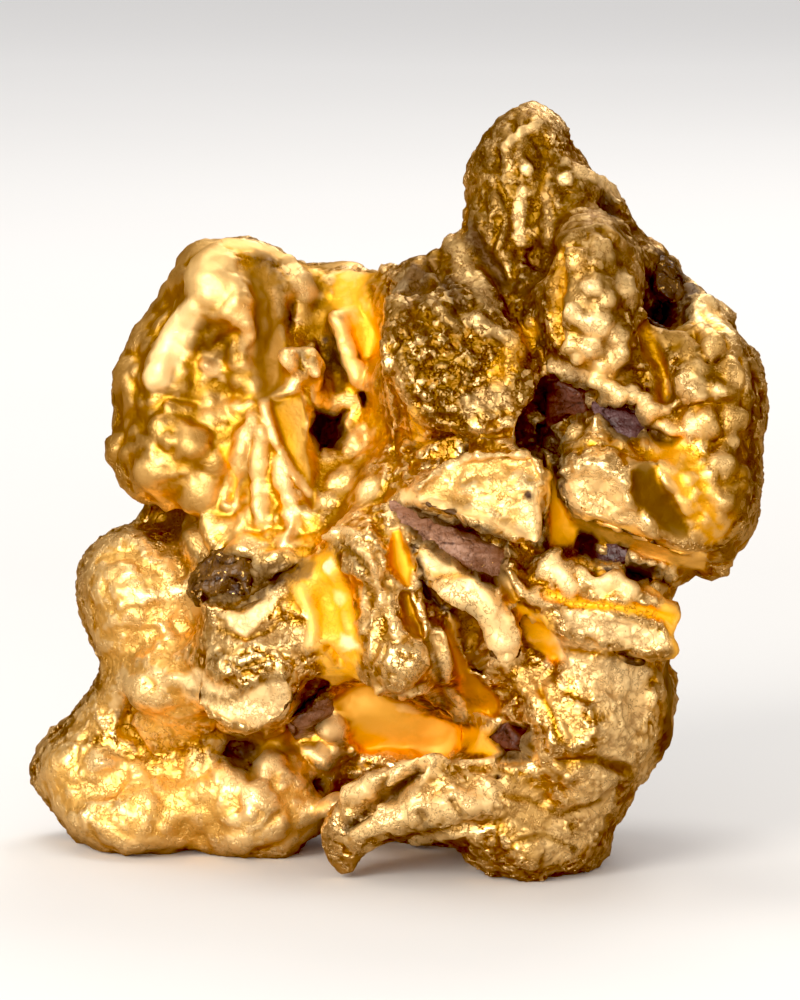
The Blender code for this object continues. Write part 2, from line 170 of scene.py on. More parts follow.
# The strokes, place by place.
STROKES = (
    # The folds of the middle.
    draw(0.5, 0.3, (16, -42), (26, -49), (37, -56), (48, -65), (56, -74), (62, -84), pale=0.9, crumple=0.3),
    draw(0.1, 0.12, (11, -32), (24, -39), (34, -44), (43, -50), (50, -57), (58, -65), (65, -72), orange=0.6,
         smooth=0.5),
    draw(0.5, 0.3, (62, -91), pale=1, smooth=0.4),
    draw(0.09, -0.1, (17, -44), (28, -46), (38, -45), orange=0.7),
    draw(0.1, 0.05, (-1, -24), (2, -36), (5, -48), orange=0.4),
    draw(0.12, -0.5, (8, -27), (12, -41), (16, -54), (24, -64), (31, -67), brown=1),
    draw(0.12, 0.25, (11, -50), pale=1),
    draw(0.42, -0.2, (82, -76), orange=0.8, smooth=0.5),
    draw(0.2, 0.25, (59, -35), (65, -48), (74, -56), (89, -60), pale=0.5, crumple=0.5),
    draw(0.12, -0.14, (67, -40), (77, -47), (87, -50), brown=0.3, orange=0.3),
    tint(0.6, (-42, -18), (-29, -24), (-17, -36), (-7, -54), pale=0.35, hackly=1),
    draw(0.12, 0.16, (-44, -22), (-34, -18), (-25, -22), pale=0.6),
    draw(0.1, 0.16, (-29, -29), (-19, -34), (-13, -43), pale=0.7),
    draw(0.08, -0.2, (-36, -27), (-26, -34), (-20, -43), brown=0.6),
    draw(0.09, 0.14, (-17, -37), (-12, -54), (-14, -73), (-17, -93), pale=0.4, hackly=0.5),
    draw(0.16, 0.18, (-10, -59), (-5, -69), (-1, -82), pale=0.5, hackly=0.5),
    draw(0.09, 0.12, (-23, -55), (-20, -67), (-22, -78), pale=0.6),
    draw(0.26, 0.26, (23, -80), (24, -93), (26, -106), pale=0.7, crumple=0.7),
    draw(0.06, -0.1, (17, -84), (20, -93), (24, -108), brown=0.5),
    draw(0.14, 0.2, (29, -114), (35, -122), (38, -130), pale=0.7, crumple=0.6),
    draw(0.8, 0.14, (0, -96), pale=0.2, hackly=1),
    draw(0.12, 0.18, (-13, -114), (0, -118), (14, -113), (23, -120), pale=0.7, hackly=0.8),
    draw(0.2, 0.14, (10, -35), (19, -40), (28, -46), (34, -50), pale=1, crumple=0.4),
    # The pale plate, the slot and the cracks round them.
    draw(0.14, 0.1, (3, 4), (13, 0), (30, -5), (48, -10), (85, -25), pale=0.8, smooth=0.6),
    draw(0.1, 0.07, (8, 5), (24, 18), (42, 26), (80, 27), pale=0.5),
    draw(0.05, -0.06, (38, 11), (60, 13), (78, 11), brown=0.4),
    draw(0.04, -0.05, (24, 2), (42, -4), (60, -10), (75, -18), brown=0.4),
    draw(0.04, -0.05, (63, 26), (67, 12), (65, 0), brown=0.3),
    draw(0.04, -0.04, (42, 6), (55, 4), (72, -3), brown=0.3),
    draw(0.06, -0.12, (77, 3), brown=1),
    draw(0.12, -0.3, (2, 30), (18, 35), (42, 37), (71, 41), brown=0.5, orange=0.3),
    draw(0.09, -0.7, (88, 41), (91, 30), (95, 22), (98, 12), brown=1),
    draw(0.18, 0.22, (91, 80), (105, 77), (120, 71), (137, 62), (150, 53), (163, 41), pale=0.8),
    draw(0.16, 0.16, (100, 77), pale=1),
    draw(0.16, 0.16, (107, 74), pale=1),
    draw(0.24, 0.2, (130, 62), pale=1),
    draw(0.2, 0.18, (140, 67), pale=0.9),
    draw(0.2, 0.18, (146, 60), pale=1),
    draw(0.24, 0.2, (158, 53), pale=0.8),
    draw(0.2, 0.18, (161, 68), pale=0.7),
    draw(0.3, 0.16, (103, 42), pale=0.5, olive=0.3),
    draw(0.16, 0.12, (96, 30), (114, 34), (132, 32), (144, 29), olive=0.5, orange=0.3),
    # Bosses and channels of the right lobe.
    draw(0.4, 0.34, (118, 104), pale=0.8),
    draw(0.3, 0.3, (130, 97), pale=0.6),
    draw(0.36, 0.32, (114, 90), pale=0.8),
    draw(0.34, 0.32, (136, 130), pale=0.6),
    draw(0.36, 0.28, (123, 151), pale=0.4),
    draw(0.26, 0.3, (103, 113), pale=0.9),
    draw(0.3, 0.3, (130, 83), pale=0.6),
    draw(0.26, 0.34, (114, 128), pale=0.9),
    draw(0.26, 0.26, (105, 143), pale=0.4, orange=0.4),
    draw(0.26, 0.24, (144, 109), olive=0.2),
    draw(0.26, 0.26, (100, 94), pale=0.6),
    draw(0.34, 0.3, (184, 117), pale=0.6),
    draw(0.36, 0.3, (187, 93), pale=0.4),
    draw(0.4, 0.32, (174, 69), pale=0.5),
    draw(0.34, 0.28, (199, 73), olive=0.2),
    draw(0.36, 0.32, (183, 45), pale=0.5),
    draw(0.32, 0.28, (203, 48), pale=0.3),
    draw(0.3, 0.3, (193, 24), pale=0.6),
    draw(0.3, 0.14, (205, 12), orange=0.2),
    draw(0.3, 0.16, (192, 0), pale=0.4),
    draw(0.1, -0.2, (153, 48), (174, 57), (193, 60), olive=0.5),
    draw(0.1, -0.22, (177, 99), (184, 83), (192, 84), olive=0.5),
    draw(0.1, -0.22, (190, 57), (193, 37), (187, 30), olive=0.5),
    draw(0.2, -0.3, (98, 146), (96, 129), (93, 116), (96, 97), orange=0.7, brown=0.4),
    draw(0.26, -0.35, (147, 101), (154, 84), (159, 62), olive=0.7, orange=0.3, smooth=0.5),
    draw(0.18, 0.18, (95, 145), (105, 158), (120, 163), (127, 156), olive=0.4),
    draw(0.5, -0.05, (161, 30), (174, 10), (188, -17), orange=0.55, smooth=0.4),
    draw(0.05, -0.05, (167, 23), (180, 8), (193, -6), olive=0.5),
    # The peak and the rough block under it.
    draw(0.11, 0.12, (62, 212), (72, 221), (82, 226), pale=0.6, smooth=0.4),
    draw(0.32, -0.16, (57, 203), olive=0.6, brown=0.3),
    draw(0.15, 0.12, (76, 199), pale=1),
    draw(0.18, 0.14, (100, 194), pale=0.9),
    draw(0.14, 0.1, (100, 204), pale=0.7),
    draw(0.04, 0.08, (73, 186), (71, 171), (72, 155), pale=0.6),
    draw(0.04, 0.05, (87, 182), (89, 167), (88, 152), pale=0.2),
    draw(0.09, 0.12, (60, 180), (63, 165), (59, 150), olive=0.3),
    draw(0.22, 0.16, (109, 198), (123, 190), (136, 181), pale=0.7),
    draw(0.34, -0.3, (124, 176), brown=0.9),
    tint(0.7, (87, 143), (75, 129), olive=0.9, brown=0.45, hackly=1),
    draw(0.25, -0.3, (42, 162), (48, 150), (57, 139), (64, 126), brown=0.8),
    draw(0.3, 0.34, (28, 161), (34, 148), (42, 134), (54, 119), pale=0.45, olive=0.3, crumple=0.9),
    draw(0.6, -0.35, (7, 130), brown=0.8),
    draw(0.2, -0.25, (18, 143), (28, 130), (37, 116), brown=0.7),
    draw(0.2, 0.2, (42, 109), (54, 102), (67, 97), pale=0.4, hackly=0.8),
    draw(0.16, 0.15, (-1, 119), (15, 122), (25, 113), (34, 103), pale=0.2, hackly=0.9),
    draw(0.14, 0.14, (-7, 115), (-10, 96), (-7, 72), (-4, 53), hackly=0.9),
    # The ledge on the right and the face below it.
    draw(0.22, 0.18, (90, -37), (95, -44), (100, -50), pale=1),
    draw(0.16, 0.14, (94, -36), pale=1),
    draw(0.2, 0.18, (104, -54), pale=1),
    draw(0.26, 0.24, (123, -50), (131, -48), (139, -54), pale=1, smooth=0.3),
    draw(0.18, 0.16, (137, -58), pale=1),
    draw(0.16, 0.14, (100, -58), pale=1),
    draw(0.12, 0.12, (120, -56), pale=1),
    draw(0.13, 0.16, (140, -33), pale=1),
    draw(0.13, 0.16, (146, -34), pale=1),
    draw(0.13, 0.16, (151, -37), pale=1),
    draw(0.15, 0.16, (157, -39), pale=1),
    draw(0.16, 0.18, (163, -43), pale=0.9),
    draw(0.3, 0.16, (154, -55), orange=0.8, smooth=0.5),
    draw(0.2, 0.15, (85, -44), pale=0.9),
    draw(0.14, 0.08, (106, -37), (114, -40), (122, -43), orange=0.9),
    draw(0.09, 0.12, (108, -43), (115, -46), (119, -53), pale=1),
    draw(0.16, 0.14, (151, -59), pale=0.5),
    draw(0.16, -0.18, (89, -56), (102, -61), (120, -63), (144, -66), (164, -71), orange=1, olive=0.25,
         hackly=0.5),
    draw(0.28, 0.1, (161, -67), (166, -79), (167, -95), orange=1, smooth=0.6),
    draw(0.1, -0.16, (99, -89), (120, -92), (153, -96), (163, -94), orange=0.5, brown=0.2),
    draw(0.2, -0.22, (97, -157), (117, -156), (138, -163), olive=0.7, smooth=0.3),
    draw(0.3, -0.12, (103, -196), olive=0.5),
    draw(0.12, -0.25, (58, -167), brown=1),
    draw(0.12, -0.16, (84, -114), (91, -129), (96, -145), orange=0.3, olive=0.6),
    draw(0.12, 0.12, (89, -98), pale=0.9),
    draw(0.14, 0.12, (98, -110), pale=0.9),
    draw(0.1, 0.1, (87, -120), pale=0.8),
    draw(0.14, 0.12, (107, -124), pale=0.9),
    draw(0.12, 0.1, (95, -136), pale=0.8),
    draw(0.12, 0.12, (112, -142), pale=0.8),
    draw(0.1, -0.12, (60, -177), (78, -180), (96, -189), (120, -180), olive=0.5),
    draw(0.1, -0.12, (72, -204), (87, -201), (105, -210), olive=0.6),
    # The rolled lower rim with its spike.
    draw(0.34, 0.2, (-34, -176), (-9, -167), (17, -160), pale=0.9, crumple=0.8),
    draw(0.36, 0.2, (-26, -199), (0, -189), (53, -178), pale=0.9, crumple=0.8),
    draw(0.16, -0.55, (-32, -197), (-15, -184), (0, -173), (13, -161), olive=0.9, brown=0.7),
    draw(0.24, 0.16, (-17, -209), (6, -205), (42, -198), pale=0.8, crumple=0.8),
    draw(0.05, -0.1, (-12, -174), (-8, -166), brown=0.5),
    draw(0.05, -0.1, (12, -187), (17, -196), brown=0.5),
    draw(0.05, -0.1, (31, -180), (36, -187), brown=0.5),
    draw(0.1, 0.16, (0, -158), (24, -155), (48, -157), (63, -156), pale=0.7, hackly=0.8),
    draw(0.09, -0.12, (-15, -207), (12, -199), (42, -196), olive=0.5),
    # The left ridge, its pits and the orange wall.
    draw(0.1, -0.14, (-108, -78), (-93, -84), (-79, -79), (-70, -71), brown=0.4),
    draw(0.05, -0.06, (-128, -115), (-103, -121), (-83, -108), (-68, -106), brown=0.4),
    draw(0.08, -0.1, (-111, -93), (-96, -101), (-83, -96), brown=0.5),
    draw(0.42, 0.3, (-40, -137), pale=0.6),
    draw(0.4, 0.26, (-46, -154), pale=0.4),
    draw(0.1, -0.4, (-44, -90), (-37, -99), brown=0.6, orange=0.5),
    draw(0.26, -0.6, (-49, -172), brown=1),
    tint(0.7, (-111, -147), (-90, -141), (-75, -147), brown=0.5, orange=0.4),
    draw(0.16, 0.3, (-86, -41), pale=1),
    draw(0.08, 0.14, (-94, -62), (-86, -59), (-79, -55), (-74, -56), pale=1),
    draw(0.2, 0.16, (-83, -36), (-74, -34), (-66, -36), olive=0.5, pale=0.3),
    draw(0.14, 0.12, (-79, -43), (-70, -41), (-60, -40), olive=0.4),
    draw(0.3, 0.2, (-41, -137), pale=1, smooth=0.6),
    draw(0.2, 0.14, (-60, -54), (-51, -69), (-54, -87), orange=0.7, smooth=0.7),
    draw(0.22, 0.14, (-39, -45), (-33, -60), (-30, -77), orange=0.6, smooth=0.6),
    # Lumps of the lower left lobe.
    draw(0.85, 0.24, (-150, -112), pale=0.2),
    draw(0.5, 0.14, (-168, -45), pale=0.4),
    draw(0.4, 0.12, (-139, -84), pale=0.3),
    draw(0.6, 0.16, (-204, -165), orange=0.3),
    draw(0.45, 0.14, (-174, -156), pale=0.4),
    draw(0.8, 0.16, (-144, -180), pale=0.3),
    draw(0.35, 0.16, (-123, -160), pale=0.5),
    draw(0.35, 0.18, (-78, -159), pale=0.6),
    draw(0.6, 0.16, (-90, -199), pale=0.5),
    draw(0.6, 0.12, (-168, -203), pale=0.4),
    draw(0.2, -0.4, (-162, -121), (-166, -137), (-156, -145), brown=0.5, orange=0.3),
    draw(0.6, 0.25, (-81, -180), pale=0.4),
    draw(0.4, 0.2, (-117, -174), pale=0.4),
    draw(0.45, 0.2, (-180, -159), pale=0.2),
    draw(0.7, 0.2, (-162, -60), pale=0.3),
    draw(0.6, 0.2, (-129, -60), pale=0.4),
    tint(0.35, (-173, -40), (-166, -54), (-156, -71), olive=0.35),
    draw(0.3, 0.12, (-139, -36), (-137, -54), (-141, -75), pale=0.4),
    # Lumps, grooves and the blade of the upper left lobe.
    draw(0.9, 0.3, (-113, 135), pale=0.6, smooth=0.5),
    draw(0.42, 0.3, (-128, 112), (-139, 93), (-146, 73), pale=0.9, smooth=0.6),
    draw(0.6, -0.25, (-113, 95), brown=0.3, olive=0.5),
    draw(0.28, 0.2, (-102, 114), (-92, 105), (-89, 92), pale=0.5),
    draw(0.36, 0.2, (-115, 80), pale=0.9),
    draw(0.35, 0.18, (-92, 120), orange=0.3),
    draw(0.5, -0.3, (-83, 134), (-79, 120), (-79, 102), (-79, 84), (-79, 69), orange=0.5, brown=0.5,
         smooth=0.4),
    draw(0.5, -0.25, (-81, 132), brown=0.6),
    draw(0.3, 0.22, (-66, 143), (-60, 135), (-56, 126), pale=0.6),
    draw(0.24, 0.3, (-68, 83), pale=0.7),
    draw(0.2, 0.3, (-53, 91), pale=0.7),
    draw(0.24, 0.26, (-50, 77), pale=0.6),
    draw(0.08, -0.2, (-60, 90), (-59, 79), brown=0.5),
    draw(0.24, 0.25, (-37, 109), (-31, 90), (-26, 73), pale=0.4, orange=0.3, smooth=0.6),
    draw(0.07, 0.13, (-82, 56), (-79, 45), (-74, 34), (-66, 20), (-56, 5), pale=0.6),
    draw(0.22, 0.16, (-90, 51), (-96, 27), (-102, -3), pale=0.4),
    draw(0.2, 0.16, (-83, 41), (-85, 13), (-83, -13), pale=0.6),
    draw(0.2, 0.16, (-73, 23), (-68, 1), (-65, -18), pale=0.6),
    draw(0.4, 0.18, (-111, 54), pale=0.3),
    draw(0.45, 0.2, (-126, 36), pale=0.3),
    draw(0.5, 0.2, (-144, 42), olive=0.2),
    draw(0.5, 0.2, (-150, 18), pale=0.3),
    draw(0.45, 0.2, (-120, 6), pale=0.4),
    draw(0.4, 0.18, (-99, -18), pale=0.3),
    draw(0.3, 0.15, (-69, -24), pale=0.4),
    draw(0.4, -0.6, (-175, -5), (-152, -7), (-127, -16), (-119, -34), brown=0.4, olive=0.4),
    draw(0.14, -0.12, (-107, 29), (-98, 13), (-101, 0), orange=0.7),
    # Broad tints: olive and brown as painted shade, pale as painted highlight, with kinds of relief.
    tint(2.2, (60, 216), (78, 186), (96, 180), olive=0.9, hackly=0.55, smooth=0.15),
    tint(2.2, (60, 168), (84, 156), (108, 168), olive=0.92, hackly=0.6, smooth=0.15),
    tint(2.2, (30, 126), (60, 108), (72, 84), brown=0.12, olive=0.92, hackly=1),
    tint(1.8, (12, 108), (24, 84), (30, 66), brown=0.1, olive=0.92, hackly=1),
    tint(0.5, (60, 75), (69, 90), (78, 102), orange=0.6, hackly=1),
    tint(0.5, (60, 63), (42, 57), pale=0.35, hackly=1),
    tint(1.6, (120, 174), (150, 150), olive=0.85),
    tint(1.2, (126, 150), (144, 108), olive=0.5),
    tint(1, (168, 90), (156, 66), olive=0.5),
    tint(0.9, (12, 138), (36, 150), olive=0.6, brown=0.2),
    tint(0.5, (7, 51), (13, 36), orange=0.8, hackly=0.5),
    tint(0.8, (-30, 132), (-21, 96), orange=0.7, smooth=0.4),
    tint(0.5, (-49, 126), (-45, 102), olive=0.5, smooth=0.4),
    tint(1, (-49, -43), (-39, -60), (-35, -84), (-33, -108), orange=1, brown=0.14, smooth=0.5),
    tint(0.6, (-60, -36), (-63, -60), orange=0.8),
    draw(0.16, 0.12, (-44, -40), pale=1),
    draw(0.18, 0.1, (-37, -59), pale=0.5),
    tint(0.13, (5, -4), (17, -8), (30, -12), (45, -16), brown=1),
    tint(0.26, (1, -124), (13, -127), pale=0.45),
    tint(0.95, (-192, -135), (-175, -122), (-167, -114), pale=0.3, knobbly=0.5),
    tint(0.95, (-23, -123), (0, -138), (24, -143), orange=1, pale=0.18, smooth=0.9),
    tint(0.5, (24, -141), (54, -144), orange=0.9, smooth=0.5),
    tint(0.55, (-86, -47), (-72, -43), (-57, -42), brown=0.75, olive=0.5),
    tint(0.25, (-117, -60), (-96, -65), (-83, -60), brown=0.7),
    tint(0.65, (-111, -84), (-93, -79), (-78, -82), (-60, -84), hackly=0.6, pale=0.6, brown=0.2),
    tint(0.8, (161, 118), brown=1),
    tint(0.5, (157, 143), (174, 126), brown=0.9),
    tint(0.4, (102, 72), (120, 63), brown=0.5),
    tint(1.15, (107, -91), (123, -105), (138, -123), (133, -147), pale=0.85, crumple=0.9),
    tint(0.4, (87, -72), (96, -90), orange=0.8),
    tint(0.8, (144, -144), (150, -174), pale=0.5, crumple=0.6),
    tint(0.65, (79, -108), (91, -125), (103, -137), pale=0.4, orange=0.25, olive=0.4, crumple=0.7,
         smooth=0.3),
    tint(0.95, (69, -180), (87, -205), olive=0.4, pale=0.4, crumple=0.6, smooth=0.35),
    tint(0.8, (162, -108), (161, -156), (147, -189), olive=0.9, smooth=0.6),
    tint(1.1, (120, -168), (114, -192), (96, -207), pale=0.7, crumple=0.8),
    tint(0.5, (42, -210), (12, -210), olive=0.5),
    draw(0.2, 0.16, (108, 107), pale=0.8),
    draw(0.18, 0.16, (122, 109), pale=0.8),
    draw(0.2, 0.18, (133, 89), pale=0.8),
    draw(0.2, 0.18, (120, 79), pale=0.8),
    draw(0.2, 0.16, (107, 84), pale=0.7),
    draw(0.2, 0.16, (139, 120), pale=0.5),
    draw(0.2, 0.14, (125, 120), pale=0.5),
    draw(0.2, 0.16, (180, 60), pale=0.7),
    draw(0.2, 0.16, (192, 65), pale=0.7),
    draw(0.2, 0.16, (174, 48), pale=0.7),
    draw(0.2, 0.16, (201, 36), pale=0.5),
    draw(0.2, 0.14, (180, 81), pale=0.4),
    draw(0.2, 0.14, (207, 60), olive=0.2),
    tint(1.2, (114, 120), (120, 102), (126, 78), pale=0.2, knobbly=0.6, hackly=0.6),
    tint(1.3, (114, 162), (126, 141), olive=0.8, knobbly=0.6, hackly=0.6),
    tint(0.45, (156, 93), (158, 66), olive=0.7, brown=0.3),
    tint(1.8, (102, 126), (144, 96), (174, 78), olive=0.82),
    tint(1, (192, 60), (204, 0), olive=0.6),
    tint(1.5, (180, 108), (198, 72), (198, 36), (189, 0), knobbly=0.8, hackly=0.4),
    tint(0.5, (210, 60), (211, 18), olive=0.6),
    tint(0.4, (195, -27), (201, -39), olive=0.6),
    tint(3, (-132, 126), (-150, 60), (-126, 12), olive=0.38, knobbly=0.8, smooth=0.1),
    tint(1.8, (-96, 120), (-84, 72), (-90, 12), knobbly=0.8, olive=0.2),
    tint(1.8, (-42, 120), (-30, 84), (-30, 30), knobbly=0.7, hackly=0.15, olive=0.3),
    tint(1.2, (-108, -24), (-66, -12), knobbly=0.8),
    tint(2.4, (-162, -48), (-156, -84), (-150, -120), pale=0.3, knobbly=0.55, hackly=0.1),
    tint(2.2, (-204, -174), (-156, -186), (-96, -186), (-60, -180), pale=0.3, knobbly=0.6, hackly=0.1),
    tint(1.2, (-72, -150), (-48, -156), knobbly=0.8),
    tint(0.7, (-17, 135), (-12, 96), (-14, 48), orange=0.45, olive=0.6),
    tint(0.75, (-81, 139), (-79, 108), (-78, 66), brown=0.7, orange=0.6, olive=0.5),
    tint(0.5, (-72, 147), (-48, 143), (-12, 143), smooth=0.9, olive=0.5),
    tint(0.6, (-99, 153), (-78, 150), smooth=0.9, olive=0.4),
    tint(0.9, (-42, 18), (-18, 6), knobbly=0.6, hackly=0.3, olive=0.45),
    draw(0.35, 0.2, (-27, 36), pale=0.5),
    draw(0.3, 0.18, (-20, 6), pale=0.7),
    draw(0.35, 0.2, (-36, 13), pale=0.4),
    draw(0.25, 0.15, (-44, 0), pale=0.4),
    tint(0.8, (-57, 129), (-49, 108), (-42, 69), olive=0.7),
    tint(0.9, (-39, 42), (-29, 18), (-42, -7), olive=0.45),
    tint(0.4, (-60, 36), (-50, 0), olive=0.6),
    tint(0.9, (-169, 90), (-173, 48), (-168, 18), olive=0.5),
    tint(0.7, (-122, 102), (-112, 90), (-99, 90), olive=0.75),
    tint(0.6, (-96, 72), (-120, 66), (-144, 69), olive=0.7),
    tint(1.3, (-153, 54), (-129, 42), (-117, 24), olive=0.5),
    tint(0.7, (-93, 141), (-72, 137), orange=0.5, olive=0.4),
    tint(0.5, (-33, 102), (-27, 69), orange=0.5, olive=0.3),
    tint(0.8, (-126, -120), (-150, -147), (-132, -159), orange=0.4),
    tint(0.7, (-123, -60), (-117, -84), olive=0.3),
    tint(0.6, (-174, -195), (-120, -207), orange=0.35, pale=0.3),
    tint(0.7, (-156, -180), (-126, -174), orange=0.4),
    tint(0.5, (-180, -174), (-204, -165), olive=0.3),
    tint(0.45, (-117, -174), (-113, -195), olive=0.4, orange=0.4),
    tint(0.7, (-162, -141), (-126, -141), orange=0.5, olive=0.15),
    tint(0.2, (-168, -129), (-162, -135), brown=0.6),
    tint(1.1, (-27, -189), (18, -183), (54, -177), pale=0.55, crumple=0.8),
    tint(0.6, (63, -168), (67, -192), olive=0.7, orange=0.2, hackly=0.4),
    tint(0.7, (24, -114), (48, -132), orange=0.5, olive=0.2),
    tint(0.5, (-3, -36), (12, -72), crumple=0.6),
    tint(1.1, (0, -96), pale=0.2, hackly=1),
)

# Flat worn facets, and hollows sunk below the gold round them, whose brown is painted shade.
FACETS = (
    flat((8, 5), (24, 18), (42, 26), (79, 27), (86, 10), (88, -16), (85, -25), (66, -20), (48, -13), (30, -8),
         (13, -3), pale=0.45, smooth=0.3, hackly=0.4),
    flat((98, 11), (102, 16), (108, 20), (120, 23), (127, 21), (132, 15), (136, 6), (137, -2), (144, -8),
         (151, -17), (154, -22), (144, -19), (132, -14), (120, -10), (108, -8), (101, -5), (97, 2), pale=0.75,
         hackly=0.5),
    flat((98, 0), (101, -5), (108, -8), (120, -10), (132, -14), (144, -19), (154, -22), (163, -26),
         (174, -29), (184, -32), (182, -42), (171, -40), (150, -34), (132, -29), (120, -26), (108, -17),
         (101, -10), pale=0.25, orange=0.7, smooth=0.9, sink=0.04, edge=0.12),
    flat((136, 18), (142, 24), (150, 25), (157, 19), (162, 7), (170, -5), (177, -14), (175, -24), (167, -26),
         (156, -21), (149, -13), (140, -4), (137, 5), olive=0.8, brown=0.3, smooth=0.8, sink=0.05, edge=0.3),
    flat((-137, -107), (-121, -100), (-111, -108), (-96, -114), (-83, -109), (-72, -100), (-67, -109),
         (-65, -120), (-70, -132), (-86, -137), (-102, -133), (-117, -124), (-129, -120), pale=1, smooth=0.2,
         crumple=0.4),
    flat((-109, -67), (-94, -67), (-83, -61), (-74, -58), (-76, -66), (-84, -76), (-93, -85), (-100, -79),
         pale=1, smooth=0.4, sink=-0.18),
    flat((-79, 60), (-59, 67), (-55, 48), (-55, 27), (-48, 0), (-52, -7), (-62, 12), (-73, 31), olive=0.7,
         orange=0.3, smooth=1),
    flat((-85, 59), (-79, 60), (-77, 45), (-72, 30), (-77, 32), (-83, 43), pale=0.8, smooth=0.2),
    flat((-68, 120), (-62, 119), (-61, 105), (-65, 98), (-70, 104), brown=1, sink=0.6, edge=0.25),
    flat((-117, -145), (-105, -138), (-90, -136), (-73, -137), (-71, -147), (-78, -157), (-82, -168),
         (-90, -173), (-101, -166), (-114, -157), brown=1, sink=1.5, edge=0.8),
    flat((29, -67), (35, -64), (42, -62), (48, -67), (50, -78), (48, -87), (53, -96), (50, -104), (42, -101),
         (38, -89), (34, -77), brown=0.6, orange=0.3, sink=0.7, edge=0.16),
    flat((28, -67), (33, -71), (37, -87), (43, -102), (55, -115), (60, -124), (54, -131), (40, -127),
         (35, -114), (31, -96), (28, -81), olive=0.45, orange=0.5, smooth=1, sink=0.35),
    flat((-7, -19), (0, -17), (6, -28), (11, -40), (7, -54), (1, -52), (-5, -37), orange=0.6, olive=0.6,
         smooth=1, sink=0.3),
    flat((1, -54), (7, -55), (14, -71), (17, -83), (8, -84), (2, -73), olive=0.85, orange=0.2, smooth=0.7,
         sink=0.3),
    flat((70, -62), (84, -68), (96, -83), (100, -94), (89, -96), (78, -85), (71, -74), orange=0.85,
         smooth=0.7, sink=0.25),
    flat((87, 29), (91, 23), (96, 11), (97, 0), (102, -11), (110, -19), (107, -26), (96, -30), (89, -27),
         (88, 0), orange=1, smooth=1, sink=0.12, edge=0.16),
    flat((53, -36), (59, -34), (66, -48), (74, -60), (68, -64), (60, -54), brown=0.5, orange=0.4, smooth=0.5,
         sink=0.3),
    flat((-35, -79), (-29, -80), (-23, -90), (-36, -90), pale=1, smooth=0.6),
    flat((-31, -121), (-24, -114), (-16, -110), (-5, -119), (7, -122), (24, -127), (37, -133), (31, -145),
         (18, -151), (0, -154), (-24, -154), (-32, -144), orange=1, smooth=1, sink=0.35, edge=0.4),
    flat((31, -137), (42, -133), (53, -138), (47, -146), (35, -149), orange=0.9, smooth=0.8, sink=0.1,
         edge=0.3),
    flat((-58, 69), (-54, 64), (-49, 55), (-41, 53), (-31, 55), (-32, 46), (-37, 38), (-44, 34), (-49, 23),
         (-54, 26), (-55, 42), (-53, 52), (-58, 62), brown=1, sink=1.2, edge=0.35),
    flat((-26, 64), (-22, 65), (-19, 60), (-22, 55), (-25, 58), brown=1, sink=0.8),
    flat((131, -37), (137, -37), (144, -40), (151, -41), (158, -43), (164, -50), (161, -54), (154, -49),
         (148, -51), (140, -52), (134, -47), brown=1, sink=1, edge=0.2),
    flat((106, -29), (110, -23), (115, -20), (119, -25), (120, -31), (116, -36), (113, -32), (109, -34),
         brown=1, sink=0.5, edge=0.12),
    flat((85, 70), (88, 74), (94, 65), (95, 55), (91, 42), (88, 30), (83, 36), (86, 48), (80, 57), brown=1,
         sink=0.8),
    flat((146, 48), (153, 44), (161, 40), (169, 36), (163, 32), (156, 32), (147, 37), brown=1, sink=0.8),
    flat((149, 118), (156, 119), (163, 113), (164, 105), (156, 103), (150, 107), brown=1, sink=0.9),
    flat((-103, -49), (-98, -46), (-95, -50), (-98, -55), (-103, -55), brown=1, sink=0.4),
    flat((-85, -52), (-74, -45), (-60, -40), (-58, -43), (-67, -49), (-77, -55), (-86, -61), (-94, -64),
         (-96, -61), brown=1, sink=0.5, edge=0.12),
    flat((-2, 0), (2, -2), (13, -7), (24, -11), (48, -16), (60, -21), (65, -27), (64, -31), (59, -27),
         (47, -23), (24, -16), (7, -10), brown=1, sink=0.8, edge=0.08),
    flat((59, -150), (78, -150), (77, -157), (56, -157), brown=1, sink=0.6),
    flat((118, -93), (130, -91), (144, -94), (153, -105), (144, -117), (129, -116), (119, -106), pale=1,
         crumple=0.5),
    flat((95, -64), (111, -66), (132, -70), (153, -77), (163, -84), (161, -90), (144, -90), (120, -85),
         (102, -80), pale=1, crumple=0.4),
    flat((54, -87), (60, -83), (67, -82), (73, -88), (73, -96), (65, -101), (56, -98), (53, -93), pale=1,
         smooth=0.3, sink=-0.12, edge=0.16),
    flat((40, -152), (46, -146), (55, -144), (60, -149), (54, -154), orange=1, smooth=1, sink=-0.12,
         edge=0.1),
    flat((1, -14), (7, -17), (14, -22), (24, -28), (34, -34), (42, -38), (50, -37), (60, -34), (61, -42),
         (56, -52), (49, -52), (42, -46), (33, -40), (24, -34), (14, -28), (7, -22), brown=0.7, sink=0.5,
         edge=0.1),
    flat((-124, -44), (-118, -36), (-112, -40), (-113, -50), (-114, -60), (-120, -64), (-124, -55), brown=0.8,
         sink=0.45, edge=0.1),
)

